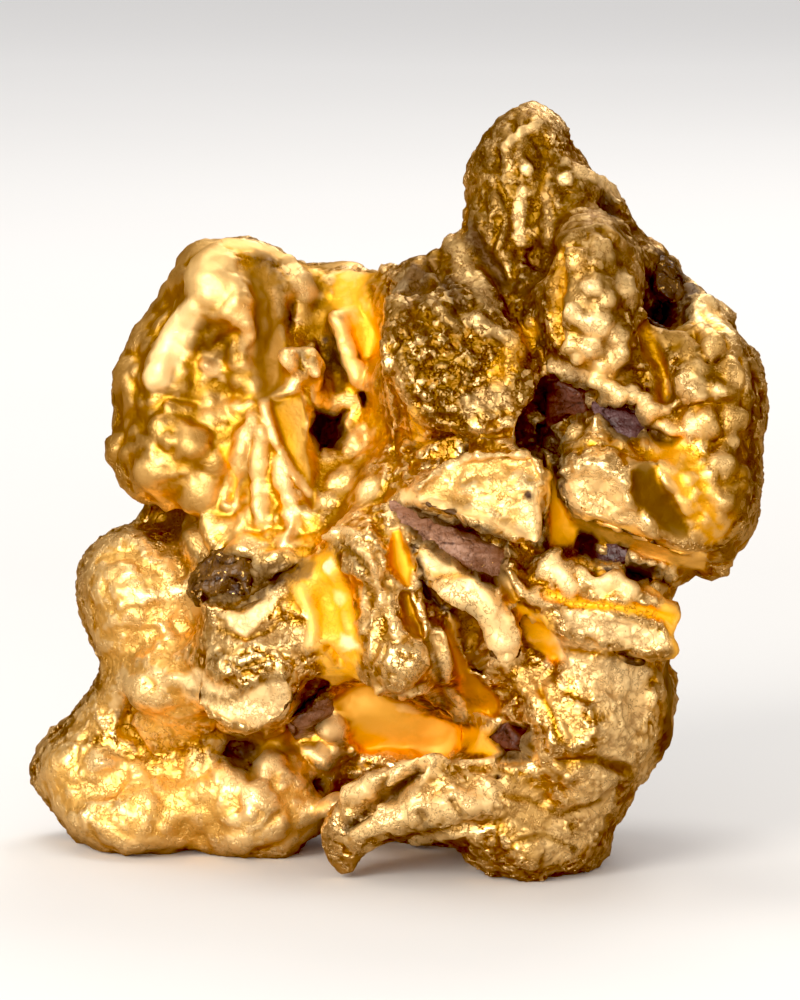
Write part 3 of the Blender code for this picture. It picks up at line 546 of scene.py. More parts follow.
# Fields of folds, along the way they run.
FOLDS = (
    crimp(1.4, 0.26, 0.09, (69, 210), (72, 180), (70, 147)),
    crimp(1, 0.26, 0.08, (105, 192), (97, 171), (91, 147)),
    crimp(0.8, 0.28, 0.12, (114, 195), (126, 186), (135, 171)),
    crimp(1.2, 0.34, 0.1, (33, 159), (51, 135), (66, 102)),
    crimp(1.5, 0.22, 0.1, (0, 114), (15, 90), (42, 54)),
    crimp(0.9, 0.22, 0.06, (15, 5), (48, 7), (87, 1)),
    crimp(0.4, 0.16, 0.03, (18, 12), (48, 18), (81, 18)),
    crimp(0.7, 0.3, 0.05, (24, -51), (45, -63), (66, -84)),
    crimp(0.8, 0.3, 0.08, (33, -60), (42, -90), (60, -120)),
    crimp(0.7, 0.26, 0.08, (0, -36), (12, -72), (24, -120)),
    crimp(0.9, 0.36, 0.07, (-30, -45), (-27, -72), (-30, -108)),
    crimp(1.7, 0.6, 0.16, (105, -72), (120, -108), (144, -144)),
    crimp(0.8, 0.5, 0.1, (153, -84), (156, -120), (144, -156)),
    crimp(1.1, 0.4, 0.11, (87, -114), (96, -144), (120, -162)),
    crimp(0.7, 0.5, 0.16, (-33, -199), (-3, -180), (30, -163)),
    crimp(0.9, 0.55, 0.16, (-12, -204), (24, -195), (72, -180)),
    crimp(1, 0.5, 0.13, (72, -180), (102, -198), (120, -180)),
    crimp(0.5, 0.22, 0.05, (90, -55), (120, -63), (163, -72)),
    crimp(0.7, 0.2, 0.05, (153, 27), (171, 3), (187, -18)),
    crimp(1, 0.6, 0.09, (-96, 60), (-93, 24), (-84, -18)),
    crimp(0.8, 0.45, 0.06, (-72, 24), (-66, 0), (-42, -24)),
    crimp(0.9, 0.4, 0.09, (-120, -84), (-96, -90), (-66, -84)),
    crimp(0.9, 0.5, 0.1, (-126, -108), (-96, -120), (-66, -114)),
    crimp(1.6, 0.8, 0.12, (-162, -36), (-153, -72), (-144, -108)),
    crimp(1.6, 0.9, 0.12, (-204, -168), (-150, -180), (-84, -180)),
)

# The outlines of the stones.
OUTLINES = {
    "quartz_slab": ((0, -4), (4, -5), (8, -7), (17, -10), (27, -14), (37, -18), (47, -23), (55, -26),
        (61, -28), (62, -34), (58, -41), (55, -50), (49, -50), (42, -44), (33, -38), (24, -32), (14, -26),
        (7, -20), (2, -16), (-1, -10)),
    "basin_stone": ((-53, -109), (-44, -110), (-42, -120), (-44, -130), (-53, -137), (-61, -139), (-66, -130),
        (-64, -119), (-59, -113)),
    "crevice_stone_left": ((92, 72), (100, 74), (109, 71), (118, 65), (119, 59), (116, 51), (108, 50),
        (97, 49), (91, 43), (91, 57)),
    "pocket_stone": ((52, -142), (59, -134), (68, -133), (78, -138), (79, -149), (72, -154), (61, -150),
        (56, -146)),
    "crevice_stone_right": ((120, 59), (130, 57), (140, 55), (147, 49), (148, 42), (142, 37), (133, 35),
        (126, 38), (122, 45), (119, 53)),
    "ledge_stone": ((119, -32), (124, -28), (130, -27), (136, -29), (137, -34), (133, -37), (126, -38),
        (120, -36)),
    "notch_stone": ((150, 139), (156, 144), (163, 139), (169, 130), (173, 121), (168, 118), (161, 120),
        (153, 121), (149, 129)),
    "ridge_ironstone": ((-119, -52), (-116, -42), (-109, -34), (-100, -31), (-90, -33), (-85, -41),
        (-86, -49), (-93, -58), (-103, -61), (-113, -60)),
}




def smooth_step(share: Array) -> Array:
    """Returns an eased copy of values that run from 0 to 1."""
    share = np.clip(share, 0.0, 1.0)
    return share * share * (3.0 - 2.0 * share)


def unit(vectors: Array) -> Array:
    """Returns each row scaled to a length of one."""
    return vectors / np.maximum(np.linalg.norm(vectors, axis=-1, keepdims=True), TINY)


def noise_at(points: Array, scale: float, shift: float = 0.0) -> Array:
    """Samples smooth noise.

    Args:
        points: Places, one to a row.
        scale: Lumps to the millimetre.
        shift: Moves the pattern, so that two uses differ.

    Returns:
        One value from about -1 to 1 for each place.
    """
    return np.array([noise.noise(place) for place in (points * scale + shift).tolist()])


def warp_at(points: Array, scale: float, shift: float) -> Array:
    """Returns a smooth field of small vectors, one for each place."""
    return np.array([noise.noise_vector(place) for place in (points * scale + shift).tolist()])


def path_distance(points: Array, path: Array) -> Array:
    """Measures how far each place is from a path.

    Args:
        points: Places, one to a row.
        path: The path's points in order. One point alone is a spot.

    Returns:
        The distance from each place to the nearest stretch of the path.
    """
    best = np.linalg.norm(points - path[0], axis=1)
    for start, end in zip(path[:-1], path[1:]):
        along = end - start
        share = np.clip((points - start) @ along / max(float(along @ along), TINY), 0.0, 1.0)
        best = np.minimum(best, np.linalg.norm(points - start - share[:, None] * along, axis=1))
    return best


def beside(plane: Array, path: Array) -> tuple[Array, Array, Array]:
    """Measures where places of the plane stand beside a path.

    Args:
        plane: The u and v of each place.
        path: The path's points in order.

    Returns:
        How far each place is from the path, how far across it on either side, and how far
        along it.
    """
    gap = np.full(len(plane), np.inf)
    across, along = np.zeros(len(plane)), np.zeros(len(plane))
    walked = 0.0
    for start, end in zip(path[:-1], path[1:]):
        step = end - start
        length = float(np.linalg.norm(step))
        offset = plane - start
        share = offset @ step / length**2
        away = np.linalg.norm(offset - np.clip(share, 0.0, 1.0)[:, None] * step, axis=1)
        nearer = away < gap
        gap[nearer] = away[nearer]
        across[nearer] = ((offset[:, 0] * step[1] - offset[:, 1] * step[0]) / length)[nearer]
        along[nearer] = (walked + share * length)[nearer]
        walked += length
    return gap, across, along


def within_box(points: Array, path: Array, margin: float) -> Array:
    """Returns which places stand in the box round a path, with a margin."""
    low, high = path.min(axis=0) - margin, path.max(axis=0) + margin
    return ((points > low) & (points < high)).all(axis=1)


def face_depth(plane: Array, slope: Array) -> Array:
    """Returns how far off a leaning flat face is at places of the plane."""
    return np.c_[plane, np.ones(len(plane))] @ slope


@dataclass(frozen=True)
class FrontView:
    """The maker's place in front of the nugget, in millimetres."""

    pitch: float = math.radians(8.0)
    distance: float = 166.67
    aim: Point3 = (0.135, 0.0, 10.95)
    lens: float = 200.0
    film: float = 36.0
    clear_range: tuple[float, float] = (0.01, 10.0)

    @property
    def forward(self) -> Array:
        """The direction of sight."""
        return np.array((0.0, math.cos(self.pitch), -math.sin(self.pitch)))

    @property
    def up(self) -> Array:
        """The direction of v on the plane that faces the maker."""
        return np.array((0.0, math.sin(self.pitch), math.cos(self.pitch)))

    @property
    def eye(self) -> Array:
        """The place of the maker's eye."""
        return np.array(self.aim) - self.forward * self.distance

    def direction(self, point: Point2) -> Array:
        """Returns the line of sight through a point of the plane."""
        aimed = self.forward * self.distance + self.up * point[1]
        return unit(aimed + np.array((point[0], 0.0, 0.0)))

    def laid_out(self, points: Array) -> tuple[Array, Array]:
        """Finds where places stand on the plane.

        Args:
            points: Places, one to a row.

        Returns:
            The u and v of each place, and its distance along the line of sight.
        """
        offset = points - self.eye
        depth = offset @ self.forward
        plane = np.stack((offset[:, 0], offset @ self.up), axis=1)
        return plane * (self.distance / depth)[:, None], depth

    def touched(self, tree: BVHTree, points: Iterable[Point2]) -> Array:
        """Finds where lines of sight meet a skin.

        Args:
            tree: The skin's search tree.
            points: Points of the plane that the lines of sight pass through.

        Returns:
            The places, one to a row, without those of lines that miss.
        """
        hits = [tree.ray_cast(Vector(self.eye), Vector(self.direction(point)))[0] for point in points]
        return np.array([hit for hit in hits if hit is not None]).reshape(-1, 3)

    def leaning(self, tree: BVHTree, corners: Iterable[Point2]) -> Array:
        """Fits a flat face to the places where lines of sight meet a skin.

        Args:
            tree: The skin's search tree.
            corners: Points of the plane that the lines of sight pass through.

        Returns:
            The change of the face's distance with u and with v, and its distance at the middle.
        """
        spots, depth = self.laid_out(self.touched(tree, corners))
        return np.linalg.lstsq(np.c_[spots, np.ones(len(spots))], depth, rcond=None)[0]

    def add_camera(self) -> None:
        """Puts the scene's camera at the maker's eye."""
        data = bpy.data.cameras.new("front_view")
        data.lens = self.lens
        data.sensor_width = self.film
        data.clip_start, data.clip_end = self.clear_range
        camera = bpy.data.objects.new("front_view", data)
        camera.location = Vector(self.eye * MM)
        camera.rotation_euler = (math.pi / 2 - self.pitch, 0.0, 0.0)
        bpy.context.scene.collection.objects.link(camera)
        bpy.context.scene.camera = camera


class Skin:
    """A closed mesh in millimetres, whose points are held as an array while they are worked."""

    def __init__(self, thing: bpy.types.Object) -> None:
        """Takes hold of an object's mesh."""
        self.thing = thing
        self.refresh()

    def refresh(self) -> None:
        """Reads the points and edges anew."""
        mesh = self.thing.data
        self.points = np.empty((len(mesh.vertices), 3))
        mesh.vertices.foreach_get("co", self.points.ravel())
        self.edges = np.empty((len(mesh.edges), 2), np.int32)
        mesh.edges.foreach_get("vertices", self.edges.ravel())
        count = np.bincount(self.edges.ravel(), minlength=len(self.points))
        self.neighbours = np.maximum(count, 1).astype(float)

    def store(self) -> None:
        """Writes the points back to the mesh."""
        self.thing.data.vertices.foreach_set("co", self.points.ravel())
        self.thing.data.update()

    def normals(self) -> Array:
        """Returns the outward direction at each point."""
        self.store()
        found = np.empty((len(self.points), 3))
        self.thing.data.vertex_normals.foreach_get("vector", found.ravel())
        return found

    def softened(self, values: Array, rounds: int) -> Array:
        """Spreads values over the skin.

        Args:
            values: One value or one row for each point.
            rounds: How many times each point takes the mean of its neighbours.

        Returns:
            The softened copy.
        """
        table = values.reshape(len(values), -1).astype(float)
        first, second = self.edges.T
        for _ in range(rounds):
            columns = []
            for column in table.T:
                total = np.bincount(first, column[second], len(table))
                total += np.bincount(second, column[first], len(table))
                columns.append(0.5 * column + 0.5 * total / self.neighbours)
            table = np.stack(columns, axis=1)
        return table.reshape(values.shape)

    def modify(self, kind: str, **settings: Any) -> None:
        """Runs one of the mesh tools on the skin and applies it.

        Args:
            kind: The tool's name.
            **settings: The tool's own settings.
        """
        self.store()
        tool = self.thing.modifiers.new(kind, kind)
        for name, value in settings.items():
            setattr(tool, name, value)
        graph = bpy.context.evaluated_depsgraph_get()
        made = bpy.data.meshes.new_from_object(self.thing.evaluated_get(graph))
        self.thing.modifiers.clear()
        worked = self.thing.data
        self.thing.data = made
        bpy.data.meshes.remove(worked)
        self.refresh()

    def tree(self) -> BVHTree:
        """Returns a search tree of the skin's faces."""
        self.store()
        bpy.context.view_layer.update()
        return BVHTree.FromObject(self.thing, bpy.context.evaluated_depsgraph_get())

    def hold_values(self, name: str, values: Array) -> None:
        """Keeps one number for each point on the mesh, under a name that a finish can read."""
        layer = self.thing.data.attributes.new(name, "FLOAT", "POINT")
        layer.data.foreach_set("value", values.astype(np.float32))


def working_copy(node: str) -> bpy.types.Object:
    """Copies a CAD node's mesh.

    Args:
        node: The node's name.

    Returns:
        A new object in millimetres.
    """
    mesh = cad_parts[node].data.copy()
    mesh.materials.clear()
    mesh.transform(Matrix.Scale(1.0 / MM, 4))
    copy = bpy.data.objects.new(f"{node}_dress", mesh)
    bpy.context.scene.collection.objects.link(copy)
    return copy


def finish_piece(piece: bpy.types.Object, look: bpy.types.Material) -> None:
    """Turns a piece into metres, gives it its finish and sets it on the nugget.

    Args:
        piece: The piece, in millimetres.
        look: The finish.
    """
    mesh = piece.data
    mesh.transform(Matrix.Scale(MM, 4))
    mesh.materials.clear()
    mesh.materials.append(look)
    mesh.shade_smooth()
    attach(piece, BODY)




@dataclass(frozen=True)
class Split:
    """Small flat faces of one size, how flat they are pressed and how far they step."""

    size: float
    share: float
    step: float


@dataclass
class GoldSkin:
    """The gold, from the CAD shape down to its crumples.

    Sizes are in millimetres.
    """

    strokes: tuple[Stroke, ...]
    facets: tuple[Facet, ...]
    folds: tuple[Fold, ...]
    view: FrontView
    voxel: float = 0.09
    quick_voxel: float = 0.16
    softening: int = 26
    path_step: float = 0.2
    finest: float = 0.12
    triangles: int = 192000
    front_care: float = 0.0004
    splits: tuple[Split, ...] = (Split(1.5, 0.6, 0.1), Split(0.75, 0.6, 0.05), Split(0.36, 0.45, 0.02))
    patchy_below: float = 0.5
    crease_width: float = 0.09
    crease_depth: float = 0.05
    bed_depth: float = 0.9
    bed_shade: float = 0.8
    facet_pull: float = 0.85
    facet_reach: float = 1.6
    facet_margin: float = 0.4
    facet_wander: tuple[float, float] = (0.13, 0.06)
    fold_stretch: float = 4.5
    stroke_spread: float = 1.5
    paint_spread: float = 1.7
    full_groove: float = 0.15
    worked_height: float = 0.12
    filling: float = 0.24
    crumple_height: float = 0.17
    hackly_height: float = 0.06
    knobbly_height: float = 0.26
    lip_reach: float = 0.55
    lip_height: float = 0.14
    lip_overlap: float = 0.08
    fine_rise: float = 0.07
    broad_rise: float = 0.35
    shelter: float = 3.5
    rays: int = 12
    ray_spread: float = 0.95
    ray_start: float = 0.04
    ray_seed: int = 7
    skin: Skin = field(init=False)
    front: Array = field(init=False)
    uneven: Array = field(init=False)
    worked: Array = field(init=False)
    creased: Array = field(init=False)
    paths: list[Array] = field(init=False, default_factory=list)

    def start(self, stones: Iterable["Stone"]) -> BVHTree:
        """Takes the CAD shape, fills its sockets and softens it.

        Args:
            stones: The stones that the sockets were made for.

        Returns:
            A search tree of the soft skin.
        """
        self.skin = Skin(working_copy("gold_nugget"))
        self.fill_sockets(stones)
        voxel = self.voxel
        self.skin.modify("REMESH", mode="VOXEL", voxel_size=voxel)
        self.skin.points = self.skin.softened(self.skin.points, self.softening)
        return self.skin.tree()

    def build(self, stones: Iterable["Stone"], look: bpy.types.Material) -> bpy.types.Object:
        """Makes the gold.

        Args:
            stones: The stones, already shaped.
            look: The gold finish.

        Returns:
            The finished piece.
        """
        # Each stone sits in a sunk hollow painted dark brown: painted shade round the stone.
        soil_and_shade = {BROWN: self.bed_shade}
        self.facets += tuple(Facet(stone.bed_outline(), soil_and_shade, self.bed_depth) for stone in stones)
        self.trace_paths()
        self.flatten_facets()
        self.draw_folds()
        self.press_strokes()
        self.raise_relief()
        self.grip_stones(stones)
        self.lighten()
        self.seat()
        self.paint()
        piece = self.skin.thing
        piece.name = "gold_body"
        finish_piece(piece, look)
        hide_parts("gold_nugget")
        return piece

    def fill_sockets(self, stones: Iterable["Stone"]) -> None:
        """Fills the CAD sockets, so that each can be cut afresh to its stone's outline.

        Args:
            stones: The stones that the sockets were made for.
        """
        heap = bmesh.new()
        heap.from_mesh(self.skin.thing.data)
        for stone in stones:
            filling = Skin(working_copy(stone.node))
            filling.points += filling.normals() * self.filling
            filling.store()
            heap.from_mesh(filling.thing.data)
            bpy.data.objects.remove(filling.thing)
        heap.to_mesh(self.skin.thing.data)
        heap.free()
        self.skin.refresh()

    def trace_paths(self) -> None:
        """Lays every stroke's path on the skin, as seen by the maker."""
        self.paths.clear()
        tree = self.skin.tree()
        for stroke in self.strokes:
            self.paths.append(self.view.touched(tree, self.evenly(stroke.path)))

    def laid(self) -> Iterator[tuple[Stroke, Array]]:
        """Gives each stroke with its path on the skin, apart from strokes that miss it."""
        for stroke, path in zip(self.strokes, self.paths):
            if len(path):
                yield stroke, path

    def evenly(self, path: tuple[Point2, ...]) -> list[Point2]:
        """Sets more points between a path's own, at an even step.

        Args:
            path: The path's points in order.

        Returns:
            All the points in order.
        """
        placed = [path[0]]
        for start, end in zip(path[:-1], path[1:]):
            count = max(1, round(math.dist(start, end) / self.path_step))
            for index in range(1, count + 1):
                share = index / count
                placed.append(tuple(a + (b - a) * share for a, b in zip(start, end)))
        return placed

    def seen(self) -> Array:
        """Returns 1 for points that the maker sees and 0 for hidden ones, with soft edges."""
        tree = self.skin.tree()
        eye = Vector(self.view.eye)
        lifted = self.skin.points + self.skin.normals() * self.finest
        facing = ((self.view.eye - lifted) * self.skin.normals()).sum(axis=1) > 0
        clear = np.zeros(len(lifted))
        for index in np.flatnonzero(facing):
            start = Vector(lifted[index])
            sight = eye - start
            if tree.ray_cast(start, sight, self.view.distance / 4)[0] is None:
                clear[index] = 1.0
        return self.skin.softened(clear, 3)

    def flatten_facets(self) -> None:
        """Presses each worn face flat inside its corners, and sinks each hollow."""
        self.front = self.seen()
        plane, depth = self.view.laid_out(self.skin.points)
        tree = self.skin.tree()
        pushed = np.zeros(len(depth))
        for facet in self.facets:
            inside = self.inside(facet, plane) * self.front
            chosen = inside > 0.02
            slope = self.view.leaning(tree, facet.corners)
            change = face_depth(plane[chosen], slope) - depth[chosen]
            near = np.clip(self.facet_reach - np.abs(change), 0.0, 1.0)
            pushed[chosen] += (self.facet_pull * change * near + facet.sink) * inside[chosen]
        self.skin.points += unit(self.skin.points - self.view.eye) * pushed[:, None]

    def inside(self, facet: Facet, plane: Array) -> Array:
        """Measures how far inside a facet places are.

        Args:
            facet: The facet.
            plane: The u and v of each place.

        Returns:
            1 well inside, 0 outside, and a short ramp between.
        """
        corners = np.array(facet.corners)
        near = within_box(plane, corners, self.facet_margin)
        share = np.zeros(len(plane))
        plane = plane[near]
        place = np.c_[plane, np.zeros(len(plane))]
        broad, fine = self.facet_wander
        plane = plane + broad * warp_at(place, 1.1, 43.0)[:, :2] + fine * warp_at(place, 3.1, 47.0)[:, :2]
        gap = np.full(len(plane), np.inf)
        crossings = np.zeros(len(plane), bool)
        for (u0, v0), (u1, v1) in zip(corners, np.roll(corners, -1, axis=0)):
            gap = np.minimum(gap, path_distance(plane, np.array(((u0, v0), (u1, v1)))))
            spans = (v0 > plane[:, 1]) != (v1 > plane[:, 1])
            level = u0 + (plane[:, 1] - v0) * (u1 - u0) / ((v1 - v0) or TINY)
            crossings ^= spans & (plane[:, 0] < level)
        signed = np.where(crossings, gap, -gap)
        share[near] = smooth_step((signed + 0.05) / facet.edge)
        return share

    def draw_folds(self) -> None:
        """Draws each field of folds: rounded rolls with sharp creases between."""
        plane, _ = self.view.laid_out(self.skin.points)
        away = unit(self.skin.softened(self.skin.normals(), 6))
        lift = np.zeros(len(plane))
        for index, fold in enumerate(self.folds):
            gap, across, along = beside(plane, np.array(fold.path))
            near = (gap < fold.width) & (self.front > 0.1)
            stretched = along / fold.spacing / self.fold_stretch
            where = np.stack((across / fold.spacing, stretched, across * 0.0), axis=1)[near]
            rolls = np.abs(noise_at(where + 0.5 * warp_at(where, 0.7, 5.0), 0.5, 7.0 + 3.1 * index))
            share = smooth_step(1.7 * (1.0 - gap[near] / fold.width)) * self.front[near]
            lift[near] += fold.height * (3.0 * np.minimum(rolls, 0.5) - 0.6) * share
        self.skin.points += away * lift[:, None]

    def press_strokes(self) -> None:
        """Raises ridges and knobs, then cuts grooves and pits through them."""
        away = unit(self.skin.softened(self.skin.normals(), 12))
        self.uneven = noise_at(self.skin.points, 1.7, 53.0) + 0.5 * noise_at(self.skin.points, 3.6, 59.0)
        raised, sunk = np.zeros((2, len(self.skin.points)))
        for stroke, path in self.laid():
            if not stroke.height:
                continue
            chosen, share = self.pressed(stroke, path, self.uneven)
            if stroke.height > 0.0:
                raised[chosen] += stroke.height * share
            else:
                sunk[chosen] = np.minimum(sunk[chosen], stroke.height * share)
        lift = raised * (1.0 - smooth_step(sunk / -self.worked_height)) + sunk
        self.skin.points += away * lift[:, None]
        self.worked = np.clip(np.abs(lift) / self.worked_height, 0.0, 1.0)

    def pressed(self, stroke: Stroke, path: Array, uneven: Array) -> tuple[Array, Array]:
        """Shapes one stroke across its width.

        Args:
            stroke: The stroke.
            path: Its path on the skin.
            uneven: A rough value for each point that breaks up the edges.

        Returns:
            Which points it reaches, and its share of its full height at each of them.
        """
        width = self.stroke_spread * max(stroke.width, self.finest)
        chosen = within_box(self.skin.points, path, width)
        rough = uneven[chosen]
        share = 1.0 - path_distance(self.skin.points[chosen], path) / width * (1.0 + 0.45 * rough)
        return chosen, smooth_step(share * 1.15) * (1.0 + 0.3 * rough)

    def grooved(self, ragged: Array) -> Array:
        """Measures how much of each point lies in a cut groove or pit.

        Args:
            ragged: A rough value for each point that breaks up the edges.

        Returns:
            The share at each point, from 0 to 1.
        """
        amount = np.zeros(len(self.skin.points))
        for stroke, path in self.laid():
            if stroke.height < 0.0:
                chosen, share = self.pressed(stroke, path, 0.4 * ragged)
                share = share * min(1.0, -stroke.height / self.full_groove)
                amount[chosen] = np.maximum(amount[chosen], share)
        return np.clip(amount, 0.0, 1.0)

    def painted(self, paint: Paint, ragged: Array) -> Array:
        """Gathers one kind of paint from every stroke and facet.

        Args:
            paint: The kind.
            ragged: A rough value for each point that breaks up the edges.

        Returns:
            The amount at each point, from 0 to 1.
        """
        amount = np.zeros(len(self.skin.points))
        for stroke, path in self.laid():
            if paint not in stroke.paint:
                continue
            width = max(stroke.width, self.finest) * (self.paint_spread if stroke.height else 1.0)
            chosen = within_box(self.skin.points, path, width * 1.3)
            share = path_distance(self.skin.points[chosen], path) / width
            share = 1.0 - share * (1.0 + 0.35 * ragged[chosen])
            amount[chosen] = np.maximum(amount[chosen], stroke.paint[paint] * smooth_step(share * 1.8))
        plane, _ = self.view.laid_out(self.skin.points)
        for facet in self.facets:
            if paint in facet.paint:
                amount = np.maximum(amount, facet.paint[paint] * self.inside(facet, plane) * self.front)
        return amount

    def raise_relief(self) -> None:
        """Works the crumples, hackles and knobs of the gold into the skin."""
        amounts = self.reliefs(self.skin.points)
        split = np.clip(amounts[CRUMPLE] + 0.7 * amounts[HACKLY], 0.0, 1.0) * (1.0 - 0.8 * self.worked)
        points = self.skin.points
        lift = self.crumple_height * amounts[CRUMPLE] * self.crumples(points)
        lift += self.knobbly_height * amounts[KNOBBLY] * self.knobs(points)
        away = unit(self.skin.softened(self.skin.normals(), 6))
        self.skin.points = points + away * lift[:, None]
        self.creased = np.zeros(len(points))
        patches = smooth_step(0.5 + 1.6 * noise_at(points, 0.45, 61.0))
        for kind in self.splits:
            share = kind.share if kind.size > self.patchy_below else kind.share * patches
            self.split_flat(kind.size, split * share, kind.step)
        self.skin.points = self.skin.softened(self.skin.points, 1)
        lift = self.hackly_height * amounts[HACKLY] * self.hackles(points)
        lift -= self.crease_depth * self.creased
        self.skin.points = self.skin.points + self.skin.normals() * lift[:, None]
        # The finish paints these creases dark: painted shade.
        self.skin.hold_values("crease", self.creased)

    def split_flat(self, size: float, share: Array, step: float) -> None:
        """Breaks the skin into many small flat faces with creases between.

        Args:
            size: The faces' width.
            share: How flat each point is pressed, from 0 to 1.
            step: How far faces stand in front of or behind one another.
        """
        points, normals = self.skin.points, self.skin.normals()
        bent = (points + 0.22 * size * warp_at(points, 1.6 / size, 37.0)) / size
        found = [noise.voronoi(place) for place in bent.tolist()]
        seeds = np.array([near[1][0] for near in found])
        edge = np.array([near[0][1] - near[0][0] for near in found]) * size
        _, owner = np.unique(np.round(seeds, 3), axis=0, return_inverse=True)
        owner = owner.ravel()
        count = np.bincount(owner).astype(float)
        middles = np.stack([np.bincount(owner, column) / count for column in points.T], axis=1)
        facing = unit(np.stack([np.bincount(owner, column) for column in normals.T], axis=1))
        over = ((points - middles[owner]) * facing[owner]).sum(axis=1)
        over *= np.clip((normals * facing[owner]).sum(axis=1) * 2.0 - 0.4, 0.0, 1.0)
        stand = step * np.sin(np.arange(len(count)) * 2.4)[owner] * smooth_step(edge / 0.1)
        self.skin.points = points - facing[owner] * ((over - stand) * share)[:, None]
        crease = smooth_step(1.0 - edge / self.crease_width) * np.clip(share * 1.8 - 0.1, 0.0, 1.0)
        self.creased = np.maximum(self.creased, crease)

    def reliefs(self, points: Array) -> dict[Paint, Array]:
        """Shares the skin out among the kinds of relief.

        Args:
            points: The skin's points.

        Returns:
            How much of each kind there is at each point, from 0 to 1.
        """
        ragged = noise_at(points, 1.4, 31.0)
        amounts = {paint: self.painted(paint, ragged) for paint in (CRUMPLE, HACKLY, KNOBBLY, SMOOTH)}
        bare = np.clip(1.0 - sum(amounts.values()), 0.0, 1.0)
        patch = smooth_step(noise_at(points, 0.22, 7.0) * 1.6 + 0.5)
        ground = 1.0 - amounts[SMOOTH] * 0.95
        return {
            CRUMPLE: (amounts[CRUMPLE] + bare * (1.0 - patch) * 0.8) * ground,
            KNOBBLY: (amounts[KNOBBLY] + bare * patch * 0.9) * ground,
            HACKLY: (amounts[HACKLY] + bare * 0.6 + amounts[CRUMPLE] * 0.6) * ground,
        }

    def crumples(self, points: Array) -> Array:
        """Makes broad dents and lumps with sharp creases between.

        Args:
            points: The skin's points.

        Returns:
            A height for each, about -1 to 1.
        """
        bent = points + 0.4 * warp_at(points, 0.8, 3.0)
        broad = np.abs(noise_at(bent, 0.5, 11.0))
        crossing = np.abs(noise_at(bent, 1.0, 23.0))
        return 2.4 * (broad - 0.22) + 1.6 * (crossing - 0.22)

    def hackles(self, points: Array) -> Array:
        """Makes small lumps crowded together over torn ground.

        Args:
            points: The skin's points.

        Returns:
            A height for each, about -1 to 1.
        """
        bent = points + 0.12 * warp_at(points, 2.4, 17.0)
        lumps = np.abs(noise_at(bent, 2.3, 41.0)) + 0.6 * np.abs(noise_at(bent, 4.4, 2.0))
        return 2.2 * (lumps - 0.35) + 0.8 * self.chips(points, 2.6)

    def chips(self, points: Array, scale: float) -> Array:
        """Makes small flat faces that each lean their own way.

        Args:
            points: The skin's points.
            scale: Chips to the millimetre.

        Returns:
            The height of each point above its own chip's middle.
        """
        heights = []
        for place in (points * scale).tolist():
            middle = noise.voronoi(place)[1][0]
            heights.append(noise.cell_vector(middle * 7.31).dot(Vector(place) - middle))
        return np.array(heights)

    def knobs(self, points: Array) -> Array:
        """Makes rounded lumps of two sizes, the small ones bolder to the right.

        Args:
            points: The skin's points.

        Returns:
            A height for each, about -1 to 1.
        """
        bent = points + 0.25 * warp_at(points, 1.1, 29.0)
        large = np.array([noise.voronoi(place)[0][0] for place in (bent * 0.85).tolist()])
        small = np.array([noise.voronoi(place)[0][0] for place in (bent * 1.9 + 9.0).tolist()])
        fine = 0.55 + 0.65 * smooth_step(0.5 + points[:, 0] / 3.0)
        return 0.9 - 2.0 * large * large + fine * (0.45 - 1.6 * small * small)

    def grip_stones(self, stones: Iterable["Stone"]) -> None:
        """Draws the gold up and over the edge of every stone.

        Args:
            stones: The stones, already shaped.
        """
        ragged = 0.75 + 0.5 * noise_at(self.skin.points, 2.0, 19.0)
        away = unit(self.skin.normals())
        for stone in stones:
            middle = stone.skin.points.mean(axis=0)
            tree = stone.skin.tree()
            for index in np.flatnonzero(within_box(self.skin.points, stone.skin.points, self.lip_reach)):
                found = tree.find_nearest(Vector(self.skin.points[index]), self.lip_reach)
                if found[0] is None:
                    continue
                share = (1.0 - found[3] / self.lip_reach) * ragged[index]
                inward = unit(middle - self.skin.points[index]) * self.lip_overlap
                self.skin.points[index] += share * (away[index] * self.lip_height + inward)

    def seat(self) -> None:
        """Keeps the feet flat on the ground."""
        self.skin.points[:, 2] = np.maximum(self.skin.points[:, 2], 0.0)

    def lighten(self) -> None:
        """Brings the skin down to its share of triangles, with the most left in front."""
        group = self.skin.thing.vertex_groups.new(name="kept")
        for index, share in enumerate(self.skin.softened(self.seen(), 6).tolist()):
            group.add((index,), share, "REPLACE")
        self.skin.modify(
            "DECIMATE",
            ratio=self.triangles / (2 * len(self.skin.points)),
            vertex_group="kept",
            vertex_group_factor=self.front_care,
            invert_vertex_group=True,
        )

    def paint(self) -> None:
        """Keeps the tones, rise and depth of each point on the mesh for the finish to read; from rise and
        depth it paints highlight on high points and shade in hollows.
        """
        skin = self.skin
        self.front = self.seen()
        self.trace_paths()
        ragged = noise_at(skin.points, 2.4, 13.0) + 0.6 * noise_at(skin.points, 5.0, 3.0)
        open_ground = 1.0 - self.grooved(ragged)
        for tone in TONES:
            amount = self.painted(tone, ragged)
            skin.hold_values(tone.value, amount * open_ground if tone is PALE else amount)
        amounts = self.reliefs(skin.points)
        rough = np.clip(amounts[HACKLY] + 0.8 * amounts[CRUMPLE] + 0.15 * amounts[KNOBBLY], 0.0, 1.0)
        skin.hold_values("rough", rough)
        normals = skin.normals()
        # How far each point stands out: the finish paints cream on the high points, as wear and as painted
        # highlight, and shade on the low ones.
        fine = ((skin.points - skin.softened(skin.points, 8)) * normals).sum(axis=1)
        broad = ((skin.points - skin.softened(skin.points, 60)) * normals).sum(axis=1)
        rise = 0.5 + fine / self.fine_rise + broad / self.broad_rise
        skin.hold_values("rise", np.clip(rise, 0.0, 1.0))
        # How shut in each point is: the finish paints shade and a bounced orange glow in the hollows from it.
        skin.hold_values("depth", self.depth(normals))

